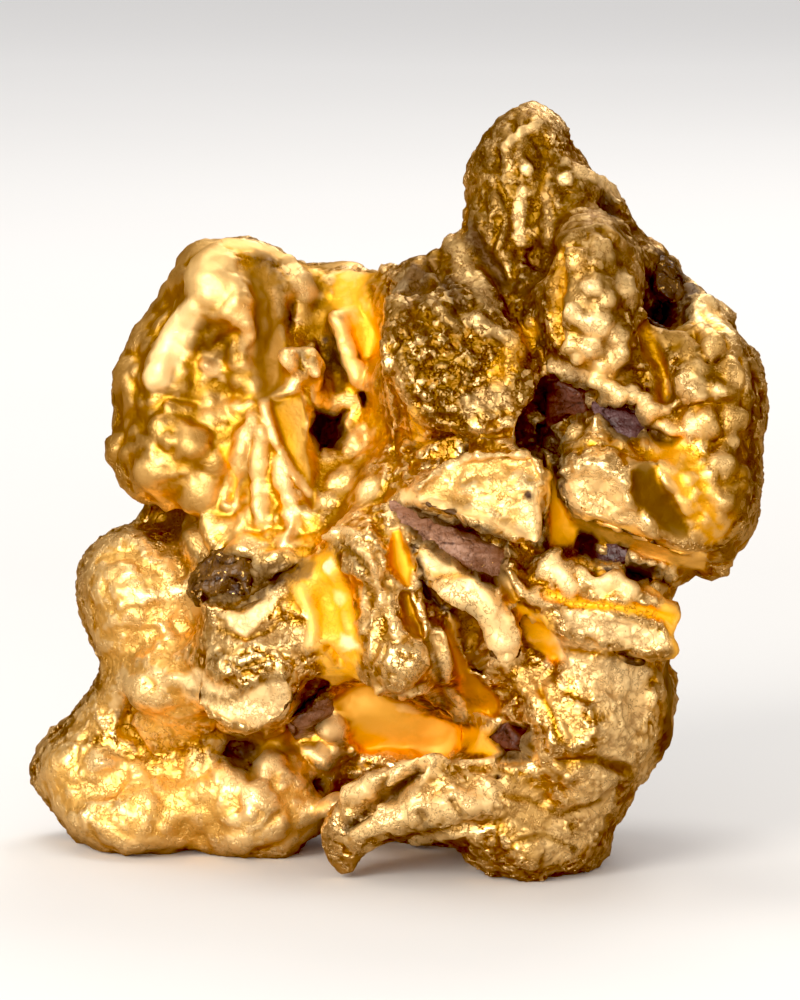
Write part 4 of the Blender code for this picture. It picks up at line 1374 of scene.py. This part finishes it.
    def depth(self, normals: Array) -> Array:
        """Measures how shut in each point is.

        Args:
            normals: The outward direction at each point.

        Returns:
            0 in the open, 1 deep in a hollow.
        """
        tree = self.skin.tree()
        chance = np.random.default_rng(self.ray_seed)
        spread = unit(chance.normal(size=(self.rays, 3))) * self.ray_spread
        shut = np.zeros(len(normals))
        starts = self.skin.points + normals * self.ray_start
        for index, (start, normal) in enumerate(zip(starts, normals)):
            origin = Vector(start)
            for turn in spread:
                if tree.ray_cast(origin, Vector(turn + normal), self.shelter)[0] is not None:
                    shut[index] += 1.0 / self.rays
        return self.skin.softened(shut, 2)




HALF = (0.5, 0.5, 0.5)
BUMP_DEPTH = 0.12 * MM


class Bench:
    """A node tree with short ways to place and join nodes."""

    def __init__(self, tree: bpy.types.NodeTree) -> None:
        """Takes hold of a tree."""
        self.tree = tree

    def node(self, kind: str, **settings: Any) -> Node:
        """Places a node.

        Args:
            kind: The node's type.
            **settings: Properties of the node in order, then its inputs by name.

        Returns:
            The node.
        """
        made = self.tree.nodes.new(kind)
        for name, value in settings.items():
            if hasattr(made, name):
                setattr(made, name, value)
            else:
                self.feed(made.inputs[name], value)
        return made

    def feed(self, socket: Socket, value: Any) -> None:
        """Links a socket, or sets its own value.

        Args:
            socket: The input to feed.
            value: An output to link it to, or a value. A colour may leave its alpha out.
        """
        if isinstance(value, bpy.types.NodeSocket):
            self.tree.links.new(value, socket)
        elif socket.type == "RGBA" and len(value) == 3:
            socket.default_value = (*value, 1.0)
        else:
            socket.default_value = value

    def sums(self, operation: str, first: Any, second: Any = 0.0) -> Socket:
        """Works out a sum of two values.

        Args:
            operation: The kind of sum.
            first: The first value.
            second: The second value, where the sum takes one.

        Returns:
            The result.
        """
        made = self.node("ShaderNodeMath", operation=operation)
        self.feed(made.inputs[0], first)
        self.feed(made.inputs[1], second)
        return made.outputs[0]

    def times(self, first: Any, second: Any) -> Socket:
        """Returns two values multiplied."""
        return self.sums("MULTIPLY", first, second)

    def plus(self, first: Any, second: Any) -> Socket:
        """Returns two values added."""
        return self.sums("ADD", first, second)

    def less(self, first: Any, second: Any) -> Socket:
        """Returns the first value without the second."""
        return self.sums("SUBTRACT", first, second)

    def most(self, first: Any, second: Any) -> Socket:
        """Returns the larger of two values."""
        return self.sums("MAXIMUM", first, second)

    def ramp(self, value: Any, low: float, high: float, start: float = 0.0, end: float = 1.0) -> Socket:
        """Draws a value out from one range to another and holds it inside.

        Args:
            value: The value.
            low: Where its own range starts.
            high: Where its own range ends.
            start: Where the new range starts.
            end: Where the new range ends.

        Returns:
            The value in its new range.
        """
        made = self.node("ShaderNodeMapRange", Value=value)
        for name, number in zip(("From Min", "From Max", "To Min", "To Max"), (low, high, start, end)):
            made.inputs[name].default_value = number
        return made.outputs[0]

    def mixed(self, amount: Any, under: Any, over: Any) -> Socket:
        """Lays one colour over another.

        Args:
            amount: How much of the upper colour, from 0 to 1.
            under: The lower colour.
            over: The upper colour.

        Returns:
            The mixed colour.
        """
        made = self.node("ShaderNodeMix", data_type="RGBA")
        self.feed(made.inputs[0], amount)
        self.feed(made.inputs[6], under)
        self.feed(made.inputs[7], over)
        return made.outputs[2]

    def vector(
        self, operation: str, first: Any, second: Any = None, scale: Any = None, output: str = "Vector"
    ) -> Socket:
        """Works on two vectors, or on one and a scale.

        Args:
            operation: The work.
            first: The first vector.
            second: The second vector, if there is one.
            scale: The scale, if there is one.
            output: The name of the output that is wanted.

        Returns:
            The result.
        """
        made = self.node("ShaderNodeVectorMath", operation=operation)
        self.feed(made.inputs[0], first)
        if second is not None:
            self.feed(made.inputs[1], second)
        if scale is not None:
            self.feed(made.inputs["Scale"], scale)
        return made.outputs[output]

    def held(self, name: str) -> Socket:
        """Returns a value that the mesh holds for each point."""
        return self.node("ShaderNodeAttribute", attribute_name=name).outputs["Fac"]

    def place(self, scale: float) -> Socket:
        """Returns the place on the piece, with a number of pattern units to the millimetre."""
        return self.vector("SCALE", self.node("ShaderNodeTexCoord").outputs["Object"], scale=scale / MM)

    def cloud(self, where: Socket, scale: Any, detail: float = 2.0, bend: Any = 0.0) -> Socket:
        """Returns smooth noise from 0 to 1."""
        made = self.node("ShaderNodeTexNoise", Vector=where, Scale=scale, Detail=detail, Distortion=bend)
        return made.outputs["Fac"]

    def grouped(self, group: bpy.types.NodeTree, **inputs: Any) -> Node:
        """Returns a shared effect put in place, with its inputs by name."""
        return self.node("ShaderNodeGroup", node_tree=group, **inputs)

    def emboss(self, height: Socket, strength: float) -> Socket:
        """Returns the outward direction bent by a height."""
        bump = self.node("ShaderNodeBump", Height=height, Strength=strength, Distance=BUMP_DEPTH)
        return bump.outputs["Normal"]


class Effect:
    """A shared effect under construction, which takes a place and some numbers."""

    def __init__(self, name: str, outputs: Iterable[str], **numbers: float) -> None:
        """Opens an effect.

        Args:
            name: The effect's name.
            outputs: The name of each number that it gives.
            **numbers: The starting value of each number that it takes.
        """
        self.tree = bpy.data.node_groups.new(name, "ShaderNodeTree")
        socket = self.tree.interface.new_socket
        socket("Place", in_out="INPUT", socket_type="NodeSocketVector")
        for label, start in numbers.items():
            socket(label, in_out="INPUT", socket_type="NodeSocketFloat").default_value = start
        for label in outputs:
            socket(label, in_out="OUTPUT", socket_type="NodeSocketFloat")
        self.bench = Bench(self.tree)
        self.given = self.bench.node("NodeGroupInput").outputs
        self.result = self.bench.node("NodeGroupOutput").inputs


def pebbled_skin() -> bpy.types.NodeTree:
    """Builds small lumps crowded together, each leaning its own way, with cracks between.

    Returns:
        An effect that gives a height, how much of a crack each place is, and a value that
        differs from lump to lump.
    """
    effect = Effect("pebbled skin", ("Height", "Crease", "Share"), Scale=3.0, Bend=0.3, Lean=0.6)
    bench, given = effect.bench, effect.given
    drift = bench.node("ShaderNodeTexNoise", Vector=given["Place"], Scale=1.6, Detail=4.0, Roughness=0.6)
    pushed = bench.vector("SUBTRACT", drift.outputs["Color"], HALF)
    pushed = bench.vector("SCALE", pushed, scale=given["Bend"])
    bent = bench.vector("SCALE", bench.vector("ADD", given["Place"], pushed), scale=given["Scale"])
    cells = bench.node("ShaderNodeTexVoronoi", Vector=bent, Scale=1.0)
    across = cells.outputs["Distance"]
    dome = bench.less(1.0, bench.times(across, across))
    offset = bench.vector("SUBTRACT", bent, cells.outputs["Position"])
    turned = bench.vector("SUBTRACT", cells.outputs["Color"], HALF)
    lean = bench.vector("DOT_PRODUCT", offset, turned, output="Value")
    tilt = bench.times(lean, given["Lean"])
    channels = bench.node("ShaderNodeSeparateColor", Color=drift.outputs["Color"]).outputs
    lines = [bench.sums("ABSOLUTE", bench.less(channels[index], 0.5)) for index in (1, 2)]
    crease = bench.ramp(bench.sums("MINIMUM", *lines), 0.016, 0.002)
    bench.feed(effect.result["Crease"], crease)
    raised = bench.less(bench.plus(dome, tilt), crease)
    bench.feed(effect.result["Height"], raised)
    share = bench.node("ShaderNodeSeparateColor", Color=cells.outputs["Color"])
    bench.feed(effect.result["Share"], share.outputs[0])
    return effect.tree


def fine_grain() -> bpy.types.NodeTree:
    """Builds a fine uneven grain.

    Returns:
        An effect that gives a height and a mottling, both from 0 to 1.
    """
    effect = Effect("fine grain", ("Height", "Mottle"), Scale=6.0, Bend=0.4)
    bench, given = effect.bench, effect.given
    fine = bench.cloud(given["Place"], given["Scale"], 3.0, given["Bend"])
    bench.feed(effect.result["Height"], fine)
    bench.feed(effect.result["Mottle"], bench.ramp(bench.cloud(given["Place"], 0.9), 0.3, 0.7))
    return effect.tree


def hollow_dirt_and_shade() -> bpy.types.NodeTree:
    """Builds the darkening of hollows: dark soil, and painted shade where a place is shut in.

    Returns:
        An effect that gives how much each place is darkened, by soil and painted shade, from 0 to 1.
    """
    effect = Effect("hollow dirt and shade", ("Soil and shade",), Depth=0.0, Amount=0.5, Scale=3.0)
    bench, given = effect.bench, effect.given
    where, scale = given["Place"], given["Scale"]
    speck = bench.node("ShaderNodeTexNoise", Vector=where, Scale=scale, Detail=4.0, Roughness=0.65)
    uneven = bench.times(bench.less(speck.outputs["Fac"], 0.5), 1.1)
    soil_and_shade = bench.ramp(bench.plus(given["Depth"], uneven), 0.5, 0.85)
    bench.feed(effect.result["Soil and shade"], bench.times(soil_and_shade, given["Amount"]))
    return effect.tree


@dataclass(frozen=True)
class Effects:
    """The effects that more than one finish uses."""

    pebbles: bpy.types.NodeTree = field(default_factory=pebbled_skin)
    grain: bpy.types.NodeTree = field(default_factory=fine_grain)
    dirt_and_shade: bpy.types.NodeTree = field(default_factory=hollow_dirt_and_shade)


def open_material(name: str) -> tuple[bpy.types.Material, Bench, Node]:
    """Starts a material.

    Args:
        name: The material's name.

    Returns:
        The material, its bench and its surface shader.
    """
    material = bpy.data.materials.new(name)
    material.use_nodes = True
    bench = Bench(material.node_tree)
    return material, bench, material.node_tree.nodes["Principled BSDF"]


@dataclass(frozen=True)
class GoldFinish:
    """Natural gold: cream on the high points, from wear and as painted highlight; rich yellow between; orange
    and brown in the hollows, largely painted bounced glow and painted shade.
    """

    name: str = "natural_gold"
    # Pale worn gold, also used for painted highlights.
    cream: Colour = (1.0, 0.71, 0.34)
    rich: Colour = (0.95, 0.55, 0.13)
    # Also painted shade on the lower parts of the surface.
    deep: Colour = (0.80, 0.41, 0.06)
    # Painted glow of light bounced between gold faces, in low and shut-in places.
    orange: Colour = (0.64, 0.33, 0.035)
    # The orange tone, laid on partly as diffuse colour: painted glow in channels and basins.
    amber: Colour = (0.98, 0.46, 0.02)
    # The olive tone: painted shade, with some dark patina.
    olive: Colour = (0.16, 0.082, 0.013)
    # Painted shade between the glints of rough ground.
    umber: Colour = (0.30, 0.15, 0.03)
    # Painted shade in creases, a dark rust-brown.
    crease_shade: Colour = (0.20, 0.075, 0.012)
    # Iron staining, and painted shade in pits, grooves and shut-in hollows.
    brown: Colour = (0.04, 0.015, 0.004)
    worn_roughness: float = 0.38
    hollow_roughness: float = 0.5

    def material(self, effects: Effects) -> bpy.types.Material:
        """Builds the finish.

        Args:
            effects: The shared effects.

        Returns:
            The finish, ready to put on a piece.
        """
        material, bench, shader = open_material(self.name)
        place = bench.place(1.0)
        grain = bench.grouped(effects.grain, Place=place, Scale=5.5, Bend=0.5)
        pebbles = bench.grouped(effects.pebbles, Place=place, Scale=2.4, Bend=0.8, Lean=1.3)
        # Painted shade in hollows, from how shut in each place is, mixed with dark soil.
        dirt_and_shade = bench.grouped(effects.dirt_and_shade, Place=place, Depth=bench.held("depth"), Amount=0.95, Scale=2.6)
        flakes_and_glints = bench.grouped(effects.pebbles, Place=place, Scale=5.5, Bend=0.5, Lean=1.6)
        rough, pale, orange = bench.held("rough"), bench.held("pale"), bench.held("orange")
        torn = bench.times(bench.ramp(rough, 0.5, 0.95), bench.ramp(pale, 0.0, 0.8, 1.0, 0.2))
        # Dark brown where hollows are shut in and where brown is painted: painted shade with some soil and
        # staining.
        soil_and_shade = bench.times(dirt_and_shade.outputs["Soil and shade"], bench.ramp(orange, 0.2, 0.9, 1.0, 0.1))
        soil_and_shade = bench.most(soil_and_shade, bench.held("brown"))
        colour = self.colour(bench, grain, pebbles, rough, torn)
        # Painted highlights: small cream glints on the high points of rough ground.
        glint = bench.times(bench.ramp(flakes_and_glints.outputs["Share"], 0.7, 0.8), torn)
        glint = bench.times(glint, bench.ramp(bench.held("rise"), 0.4, 0.9))
        glint = bench.times(glint, bench.ramp(orange, 0.0, 0.6, 0.8, 0.1))
        colour = bench.mixed(glint, colour, self.cream)
        bench.feed(shader.inputs["Base Color"], bench.mixed(soil_and_shade, colour, self.brown))
        clear = bench.less(bench.ramp(orange, 0.3, 1.0, 1.0, 0.35), bench.times(pale, 0.45))
        clear = bench.times(clear, bench.ramp(soil_and_shade, 0.3, 1.0, 1.0, 0.3))
        bench.feed(shader.inputs["Metallic"], clear)
        gloss = bench.ramp(grain.outputs["Mottle"], 0.0, 1.0, self.worn_roughness, self.hollow_roughness)
        gloss = bench.less(gloss, bench.times(rough, 0.1))
        matt = bench.most(pale, bench.most(orange, bench.held("olive")))
        matt = bench.ramp(bench.most(soil_and_shade, bench.times(matt, 0.6)), 0.0, 1.0, 0.0, 0.25)
        bench.feed(shader.inputs["Roughness"], bench.plus(gloss, matt))
        lumps = bench.times(bench.times(pebbles.outputs["Height"], 0.2), rough)
        fine = bench.times(grain.outputs["Height"], bench.ramp(rough, 0.2, 1.0, 0.12, 0.3))
        leaves = bench.times(bench.times(flakes_and_glints.outputs["Height"], 0.1), torn)
        height = bench.plus(lumps, bench.plus(fine, leaves))
        bench.feed(shader.inputs["Normal"], bench.emboss(height, 0.8))
        return material

    def colour(self, bench: Bench, grain: Node, pebbles: Node, rough: Socket, torn: Socket) -> Socket:
        """Lays the golds over one another.

        Args:
            bench: The material's bench.
            grain: The grain effect.
            pebbles: The pebble effect.
            rough: How rough each place is.
            torn: How torn each place is.

        Returns:
            The colour.
        """
        rise, pale = bench.held("rise"), bench.held("pale")
        orange, olive = bench.held("orange"), bench.held("olive")
        base = bench.mixed(grain.outputs["Mottle"], self.deep, self.rich)
        # Painted shade: the lower parts of the surface go to the deeper gold.
        base = bench.mixed(bench.ramp(rise, 0.3, 0.6), self.deep, base)
        base = bench.mixed(bench.ramp(pebbles.outputs["Share"], 0.55, 1.0, 0.0, 0.35), base, self.deep)
        # Painted glow of light bounced between gold faces: low and shut-in places go orange.
        deep = bench.ramp(bench.held("depth"), 0.35, 0.85, 0.0, 0.8)
        base = bench.mixed(bench.most(bench.ramp(rise, 0.4, 0.1, 0.0, 0.6), deep), base, self.orange)
        # Painted shade between the glints of rough ground.
        base = bench.mixed(bench.times(torn, 0.45), base, self.umber)
        # Olive tone: painted shade, with some dark patina.
        base = bench.mixed(olive, base, self.olive)
        # Amber tone: painted glow in channels and basins.
        base = bench.mixed(orange, base, self.amber)
        # Cream on the high points and on pale paint: polish from wear and painted highlight.
        bare = bench.ramp(bench.most(olive, bench.times(orange, 0.7)), 0.0, 0.6, 1.0, 0.15)
        worn_and_highlit = bench.times(bench.ramp(rise, 0.5, 0.9, 0.0, 0.9), bare)
        base = bench.mixed(bench.most(worn_and_highlit, pale), base, self.cream)
        # Painted shade in creases.
        crease = bench.most(bench.held("crease"), bench.times(pebbles.outputs["Crease"], rough))
        crease = bench.times(crease, bench.ramp(pale, 0.0, 1.0, 0.7, 0.55))
        return bench.mixed(crease, base, self.crease_shade)


@dataclass(frozen=True)
class StoneFinish:
    """A grain of stone held in the gold, with streaks, specks, a little gold dust and painted shade in its
    clefts.
    """

    name: str
    body: Colour
    streak: Colour
    dark: Colour
    roughness: float
    gleam: float
    dust: float
    streaks: float = 1.0
    gold: Colour = (0.95, 0.6, 0.2)
    turn: Point3 = (0.2, 0.4, 0.0)

    def material(self, effects: Effects) -> bpy.types.Material:
        """Builds the finish.

        Args:
            effects: The shared effects.

        Returns:
            The finish, ready to put on a piece.
        """
        material, bench, shader = open_material(self.name)
        place = bench.place(1.0)
        grain = bench.grouped(effects.grain, Place=place, Scale=5.0, Bend=0.8)
        pebbles = bench.grouped(effects.pebbles, Place=place, Scale=3.4, Bend=0.5, Lean=1.4)
        dirt_and_shade = bench.grouped(effects.dirt_and_shade, Place=place, Depth=bench.held("depth"), Amount=0.9, Scale=4.0)
        drawn = bench.node("ShaderNodeMapping", Vector=place)
        drawn.inputs["Rotation"].default_value = self.turn
        drawn.inputs["Scale"].default_value = (0.6, 1.6, 3.0 * self.streaks)
        vein = bench.cloud(drawn.outputs[0], 1.2, 4.0, 0.9)
        base = bench.mixed(bench.ramp(vein, 0.40, 0.62), self.body, self.streak)
        base = bench.mixed(bench.ramp(grain.outputs["Height"], 0.5, 0.3, 0.0, 0.6), base, self.dark)
        # Painted shade in clefts and dents, mixed with dirt.
        base = bench.mixed(dirt_and_shade.outputs["Soil and shade"], base, self.dark)
        rare = 0.74 - self.dust * 0.1
        gold = bench.ramp(bench.cloud(place, 6.5), rare, rare + 0.04)
        bench.feed(shader.inputs["Base Color"], bench.mixed(gold, base, self.gold))
        bench.feed(shader.inputs["Metallic"], gold)
        gloss = bench.ramp(grain.outputs["Mottle"], 0.0, 1.0, self.roughness, self.roughness + 0.15)
        bench.feed(shader.inputs["Roughness"], gloss)
        shader.inputs["Specular IOR Level"].default_value = self.gleam
        lumps = bench.times(pebbles.outputs["Height"], 0.2)
        height = bench.plus(lumps, bench.times(grain.outputs["Height"], 0.3))
        bench.feed(shader.inputs["Normal"], bench.emboss(height, 0.7))
        return material


@dataclass(frozen=True)
class PlainFinish:
    """A matt paper finish for the studio, painted paler away from the middle to make up for the lamps'
    falloff.
    """

    name: str
    near: Colour
    far: Colour
    mirrored: Colour
    reach: tuple[float, float] = (60.0, 400.0)
    roughness: float = 0.9

    def material(self) -> bpy.types.Material:
        """Builds the finish, which metal mirrors in a dimmer and warmer colour.

        Returns:
            The finish, ready to put on a piece.
        """
        material, bench, shader = open_material(self.name)
        distance = bench.vector("LENGTH", bench.place(1.0), output="Value")
        cloud = bench.times(bench.cloud(bench.place(0.02), 1.0), 0.06)
        mirror = bench.node("ShaderNodeLightPath").outputs["Is Glossy Ray"]
        # Painted light: the paper grows paler with distance from the middle, against the lamps' falloff.
        seen = bench.mixed(bench.plus(bench.ramp(distance, *self.reach), cloud), self.near, self.far)
        bench.feed(shader.inputs["Base Color"], bench.mixed(mirror, seen, self.mirrored))
        shader.inputs["Roughness"].default_value = self.roughness
        return material




@dataclass
class Stone:
    """One grain of stone, cleaved and bedded in the gold. Sizes are in millimetres."""

    node: str
    slot: str
    finish: StoneFinish
    sunk: float = 0.25
    flat: float = 0.85
    spread: float = 1.3
    room: float = 1.12
    rim: float = 0.35
    crown: float = 0.35
    voxel: float = 0.07
    chip: float = 0.05
    cleft: float = 0.05
    splits: int = 7
    split_depth: float = 0.07
    bins: int = 72
    seed: int = 0
    skin: Skin = field(init=False)

    def shape(self, gold: BVHTree, view: FrontView) -> None:
        """Draws the CAD stone out to its outline, beds it in the gold and works its faces.

        Args:
            gold: The search tree of the gold's soft skin.
            view: The maker's place, which the outline is seen from.
        """
        self.skin = Skin(working_copy(self.node))
        self.skin.modify("REMESH", mode="VOXEL", voxel_size=self.voxel)
        self.skin.points = self.skin.softened(self.skin.points, 2)
        self.draw_out(view)
        self.cleave()
        self.bed(gold, view)

    def outline(self) -> tuple[Array, Array]:
        """Returns the corners of the stone's outline and their middle."""
        corners = np.array(on_plane(OUTLINES[self.node]))
        return corners, corners.mean(axis=0)

    def bed_outline(self) -> tuple[Point2, ...]:
        """Returns the outline of the hollow that holds the stone, a little larger than the stone."""
        corners, middle = self.outline()
        return tuple(tuple(corner) for corner in middle + (corners - middle) * self.room)

    def draw_out(self, view: FrontView) -> None:
        """Stretches the stone until its silhouette follows the outline.

        Args:
            view: The maker's place, which the outline is seen from.
        """
        plane, _ = view.laid_out(self.skin.points)
        own_middle = (plane.min(axis=0) + plane.max(axis=0)) / 2.0
        offset = plane - own_middle
        angle = np.arctan2(offset[:, 1], offset[:, 0])
        turns = (np.arange(self.bins) + 0.5) / self.bins * 2.0 * math.pi - math.pi
        own = np.full(self.bins, 0.05)
        which = ((angle + math.pi) / (2.0 * math.pi) * self.bins).astype(int) % self.bins
        np.maximum.at(own, which, np.linalg.norm(offset, axis=1))
        corners, middle = self.outline()
        wanted = np.array([self.spread * self.reach(corners - middle, turn) for turn in turns])
        drawn = np.interp(angle, turns, wanted / own, period=2.0 * math.pi)
        change = middle + offset * drawn[:, None] - plane
        self.skin.points += change[:, :1] * np.array((1.0, 0.0, 0.0)) + change[:, 1:] * view.up

    def reach(self, corners: Array, turn: float) -> float:
        """Measures how far an outline lies from its middle in one direction.

        Args:
            corners: The outline's corners, from its middle.
            turn: The direction, in radians.

        Returns:
            The distance.
        """
        heading = np.array((math.cos(turn), math.sin(turn)))
        side = np.array((-heading[1], heading[0]))
        best = 0.1
        for start, end in zip(corners, np.roll(corners, -1, axis=0)):
            low, high = start @ side, end @ side
            if (low > 0.0) != (high > 0.0):
                best = max(best, float((start + (end - start) * low / (low - high)) @ heading))
        return best

    def bed(self, gold: BVHTree, view: FrontView) -> None:
        """Sets the stone's face a little below the gold and presses it towards flat.

        Args:
            gold: The search tree of the gold's soft skin.
            view: The maker's place, which the outline is seen from.
        """
        corners, middle = self.outline()
        outward = corners - middle
        outward *= 1.0 + self.rim / np.linalg.norm(outward, axis=1, keepdims=True)
        slope = view.leaning(gold, [tuple(corner) for corner in middle + outward])
        plane, depth = view.laid_out(self.skin.points)
        gap = depth - face_depth(plane, slope)
        gap += self.sunk - np.percentile(gap, 2.0) - self.crown
        wanted = np.where(gap < self.sunk, self.sunk + (1.0 - self.flat) * (gap - self.sunk), gap)
        sight = unit(self.skin.points - view.eye)
        change = wanted + face_depth(plane, slope) - depth
        self.skin.points += sight * change[:, None]

    def cleave(self) -> None:
        """Splits the stone's rounded outside into flat faces, then chips it."""
        chance = np.random.default_rng(self.seed)
        for face in unit(chance.normal(size=(self.splits, 3))):
            reach = self.skin.points @ face
            limit = reach.max() - self.split_depth * (reach.max() - reach.min())
            self.skin.points -= np.maximum(reach - limit, 0.0)[:, None] * face * 0.9
        bent = self.skin.points + 0.12 * warp_at(self.skin.points, 2.0, self.seed)
        chips = 0.35 - np.abs(noise_at(bent, 1.7, self.seed)) - 0.5 * np.abs(noise_at(bent, 3.9, self.seed))
        clefts = np.clip(0.08 - np.abs(noise_at(bent, 1.1, self.seed + 5.0)), 0.0, 0.08) / 0.08
        lift = self.chip * 2.0 * chips - self.cleft * clefts
        self.skin.points = self.skin.points + self.skin.normals() * lift[:, None]
        # How far into a cleft or dent each point is, which the finish darkens: painted shade with dirt.
        self.skin.hold_values("depth", np.clip(clefts + 0.4 * (0.3 - chips), 0.0, 1.0))

    def dress(self, effects: Effects, looks: dict[str, bpy.types.Material]) -> bpy.types.Object:
        """Gives the stone its finish.

        Args:
            effects: The shared effects.
            looks: Finishes made so far, by name, to which this one is added.

        Returns:
            The finished piece.
        """
        self.skin.store()
        piece = self.skin.thing
        piece.name = f"{self.node}_grain"
        if self.finish.name not in looks:
            looks[self.finish.name] = self.finish.material(effects)
        finish_piece(piece, looks[self.finish.name])
        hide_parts(self.node)
        return piece


PAPER = PlainFinish("pale_paper", (0.60, 0.59, 0.58), (0.95, 0.94, 0.93), (0.22, 0.145, 0.065))


@dataclass
class Studio:
    """The plain pale floor and the soft lights. Sizes are in metres."""

    floor_radius: float = 3.0
    floor_sides: int = 96
    floor: PlainFinish = PAPER
    sky: Colour = (1.0, 1.0, 1.01)
    glow: Colour = (0.27, 0.175, 0.08)
    exposure: float = -0.47
    black: Colour = (0.014, 0.028, 0.028)
    aim: Point3 = (0.0, 0.0, 0.011)

    def build(self) -> None:
        """Lays the floor, lights it and sets how the picture is developed."""
        self.lay_floor()
        self.light_sky()
        self.hang("key", (-0.15, -0.20, 0.12), (0.12, 0.12), 1.0, (1.0, 0.95, 0.88))
        self.hang("front", (-0.04, -0.26, 0.045), (0.16, 0.08), 0.62, (1.0, 0.95, 0.88))
        self.hang("top", (-0.05, 0.05, 0.25), (0.14, 0.10), 0.3, (1.0, 0.97, 0.92))
        self.hang("right", (0.22, -0.10, 0.05), (0.06, 0.12), 0.12, (1.0, 0.96, 0.9))
        self.hang("back", (0.08, 0.20, 0.24), (0.14, 0.14), 0.5, (1.0, 0.97, 0.94))
        self.develop()

    def develop(self) -> None:
        """Sets how the picture is developed: plain tones with deep blacks."""
        tones = bpy.context.scene.view_settings
        tones.view_transform = "Standard"
        tones.exposure = self.exposure
        tones.use_curve_mapping = True
        tones.curve_mapping.black_level = self.black
        tones.curve_mapping.update()

    def lay_floor(self) -> None:
        """Lays a wide round sheet of pale paper under the nugget."""
        mesh = bpy.data.meshes.new("floor")
        sheet = bmesh.new()
        bmesh.ops.create_circle(sheet, cap_ends=True, segments=self.floor_sides, radius=self.floor_radius)
        sheet.to_mesh(mesh)
        sheet.free()
        mesh.materials.append(self.floor.material())
        floor = bpy.data.objects.new("floor", mesh)
        bpy.context.scene.collection.objects.link(floor)

    def light_sky(self) -> None:
        """Fills the studio with an even pale light, which the metal sees as a dim warm one."""
        world = bpy.data.worlds.new("studio")
        bpy.context.scene.world = world
        world.use_nodes = True
        bench = Bench(world.node_tree)
        mirror = bench.node("ShaderNodeLightPath").outputs["Is Glossy Ray"]
        sky = world.node_tree.nodes["Background"]
        bench.feed(sky.inputs["Color"], bench.mixed(mirror, self.sky, self.glow))

    def hang(self, name: str, place: Point3, size: tuple[float, float], power: float, colour: Colour) -> None:
        """Hangs a soft light that faces the nugget.

        Args:
            name: The light's name.
            place: Where it hangs.
            size: Its width and height.
            power: Its power in watts.
            colour: Its colour.
        """
        data = bpy.data.lights.new(name, "AREA")
        data.shape = "RECTANGLE"
        data.size, data.size_y = size
        data.energy = power
        data.color = colour
        lamp = bpy.data.objects.new(name, data)
        lamp.location = place
        lamp.visible_camera = False
        sight = Vector(self.aim) - Vector(place)
        lamp.rotation_euler = sight.to_track_quat("-Z", "Y").to_euler()
        bpy.context.scene.collection.objects.link(lamp)


ROSE = StoneFinish(
    "rose_quartz", (0.17, 0.074, 0.038), (0.30, 0.16, 0.10), (0.05, 0.018, 0.008),
    roughness=0.36, gleam=0.4, dust=0.15,
)
RED = StoneFinish(
    "red_stone", (0.04, 0.012, 0.006), (0.085, 0.028, 0.016), (0.012, 0.004, 0.002),
    roughness=0.42, gleam=0.3, dust=0.2,
)
PURPLE = StoneFinish(
    "purple_stone", (0.05, 0.022, 0.022), (0.095, 0.05, 0.05), (0.016, 0.006, 0.006),
    roughness=0.34, gleam=0.4, dust=0.1,
)
IRON = StoneFinish(
    "ironstone", (0.04, 0.016, 0.004), (0.11, 0.052, 0.012), (0.005, 0.0025, 0.001),
    roughness=0.34, gleam=0.4, dust=0.9, streaks=0.4,
)


def report(piece: bpy.types.Object) -> None:
    """Logs a finished piece and its count of faces."""
    LOG.info("%s: %d faces", piece.name, len(piece.data.polygons))


def main() -> None:
    """Builds the nugget, its stones and the studio in order."""
    logging.basicConfig(level=logging.INFO, format="%(name)s %(message)s")
    noise.seed_set(WARP_SEED)
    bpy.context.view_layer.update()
    view = FrontView()
    effects = Effects()
    gold = GoldSkin(STROKES, FACETS, FOLDS, view)
    soft_skin = gold.start(STONES)
    for stone in STONES:
        stone.shape(soft_skin, view)
    report(gold.build(STONES, GoldFinish().material(effects)))
    looks: dict[str, bpy.types.Material] = {}
    for stone in STONES:
        report(stone.dress(effects, looks))
    Studio().build()
    view.add_camera()


STONES = (
    Stone("quartz_slab", "rose_quartz", ROSE, chip=0.03, split_depth=0.05, seed=1),
    Stone("basin_stone", "rose_quartz", ROSE, sunk=0.1, flat=0.6, seed=2),
    Stone("crevice_stone_left", "red_stone", RED, sunk=0.4, chip=0.03, seed=3),
    Stone("pocket_stone", "red_stone", RED, seed=4),
    Stone("crevice_stone_right", "purple_stone", PURPLE, sunk=0.35, chip=0.02, seed=5),
    Stone("ledge_stone", "purple_stone", PURPLE, sunk=0.15, chip=0.06, seed=6),
    Stone("notch_stone", "ironstone", IRON, sunk=0.3, chip=0.1, seed=7),
    Stone("ridge_ironstone", "ironstone", IRON, sunk=-0.3, flat=0.3, chip=0.14, spread=1.5, seed=8),
)

if __name__ == "__main__":
    main()
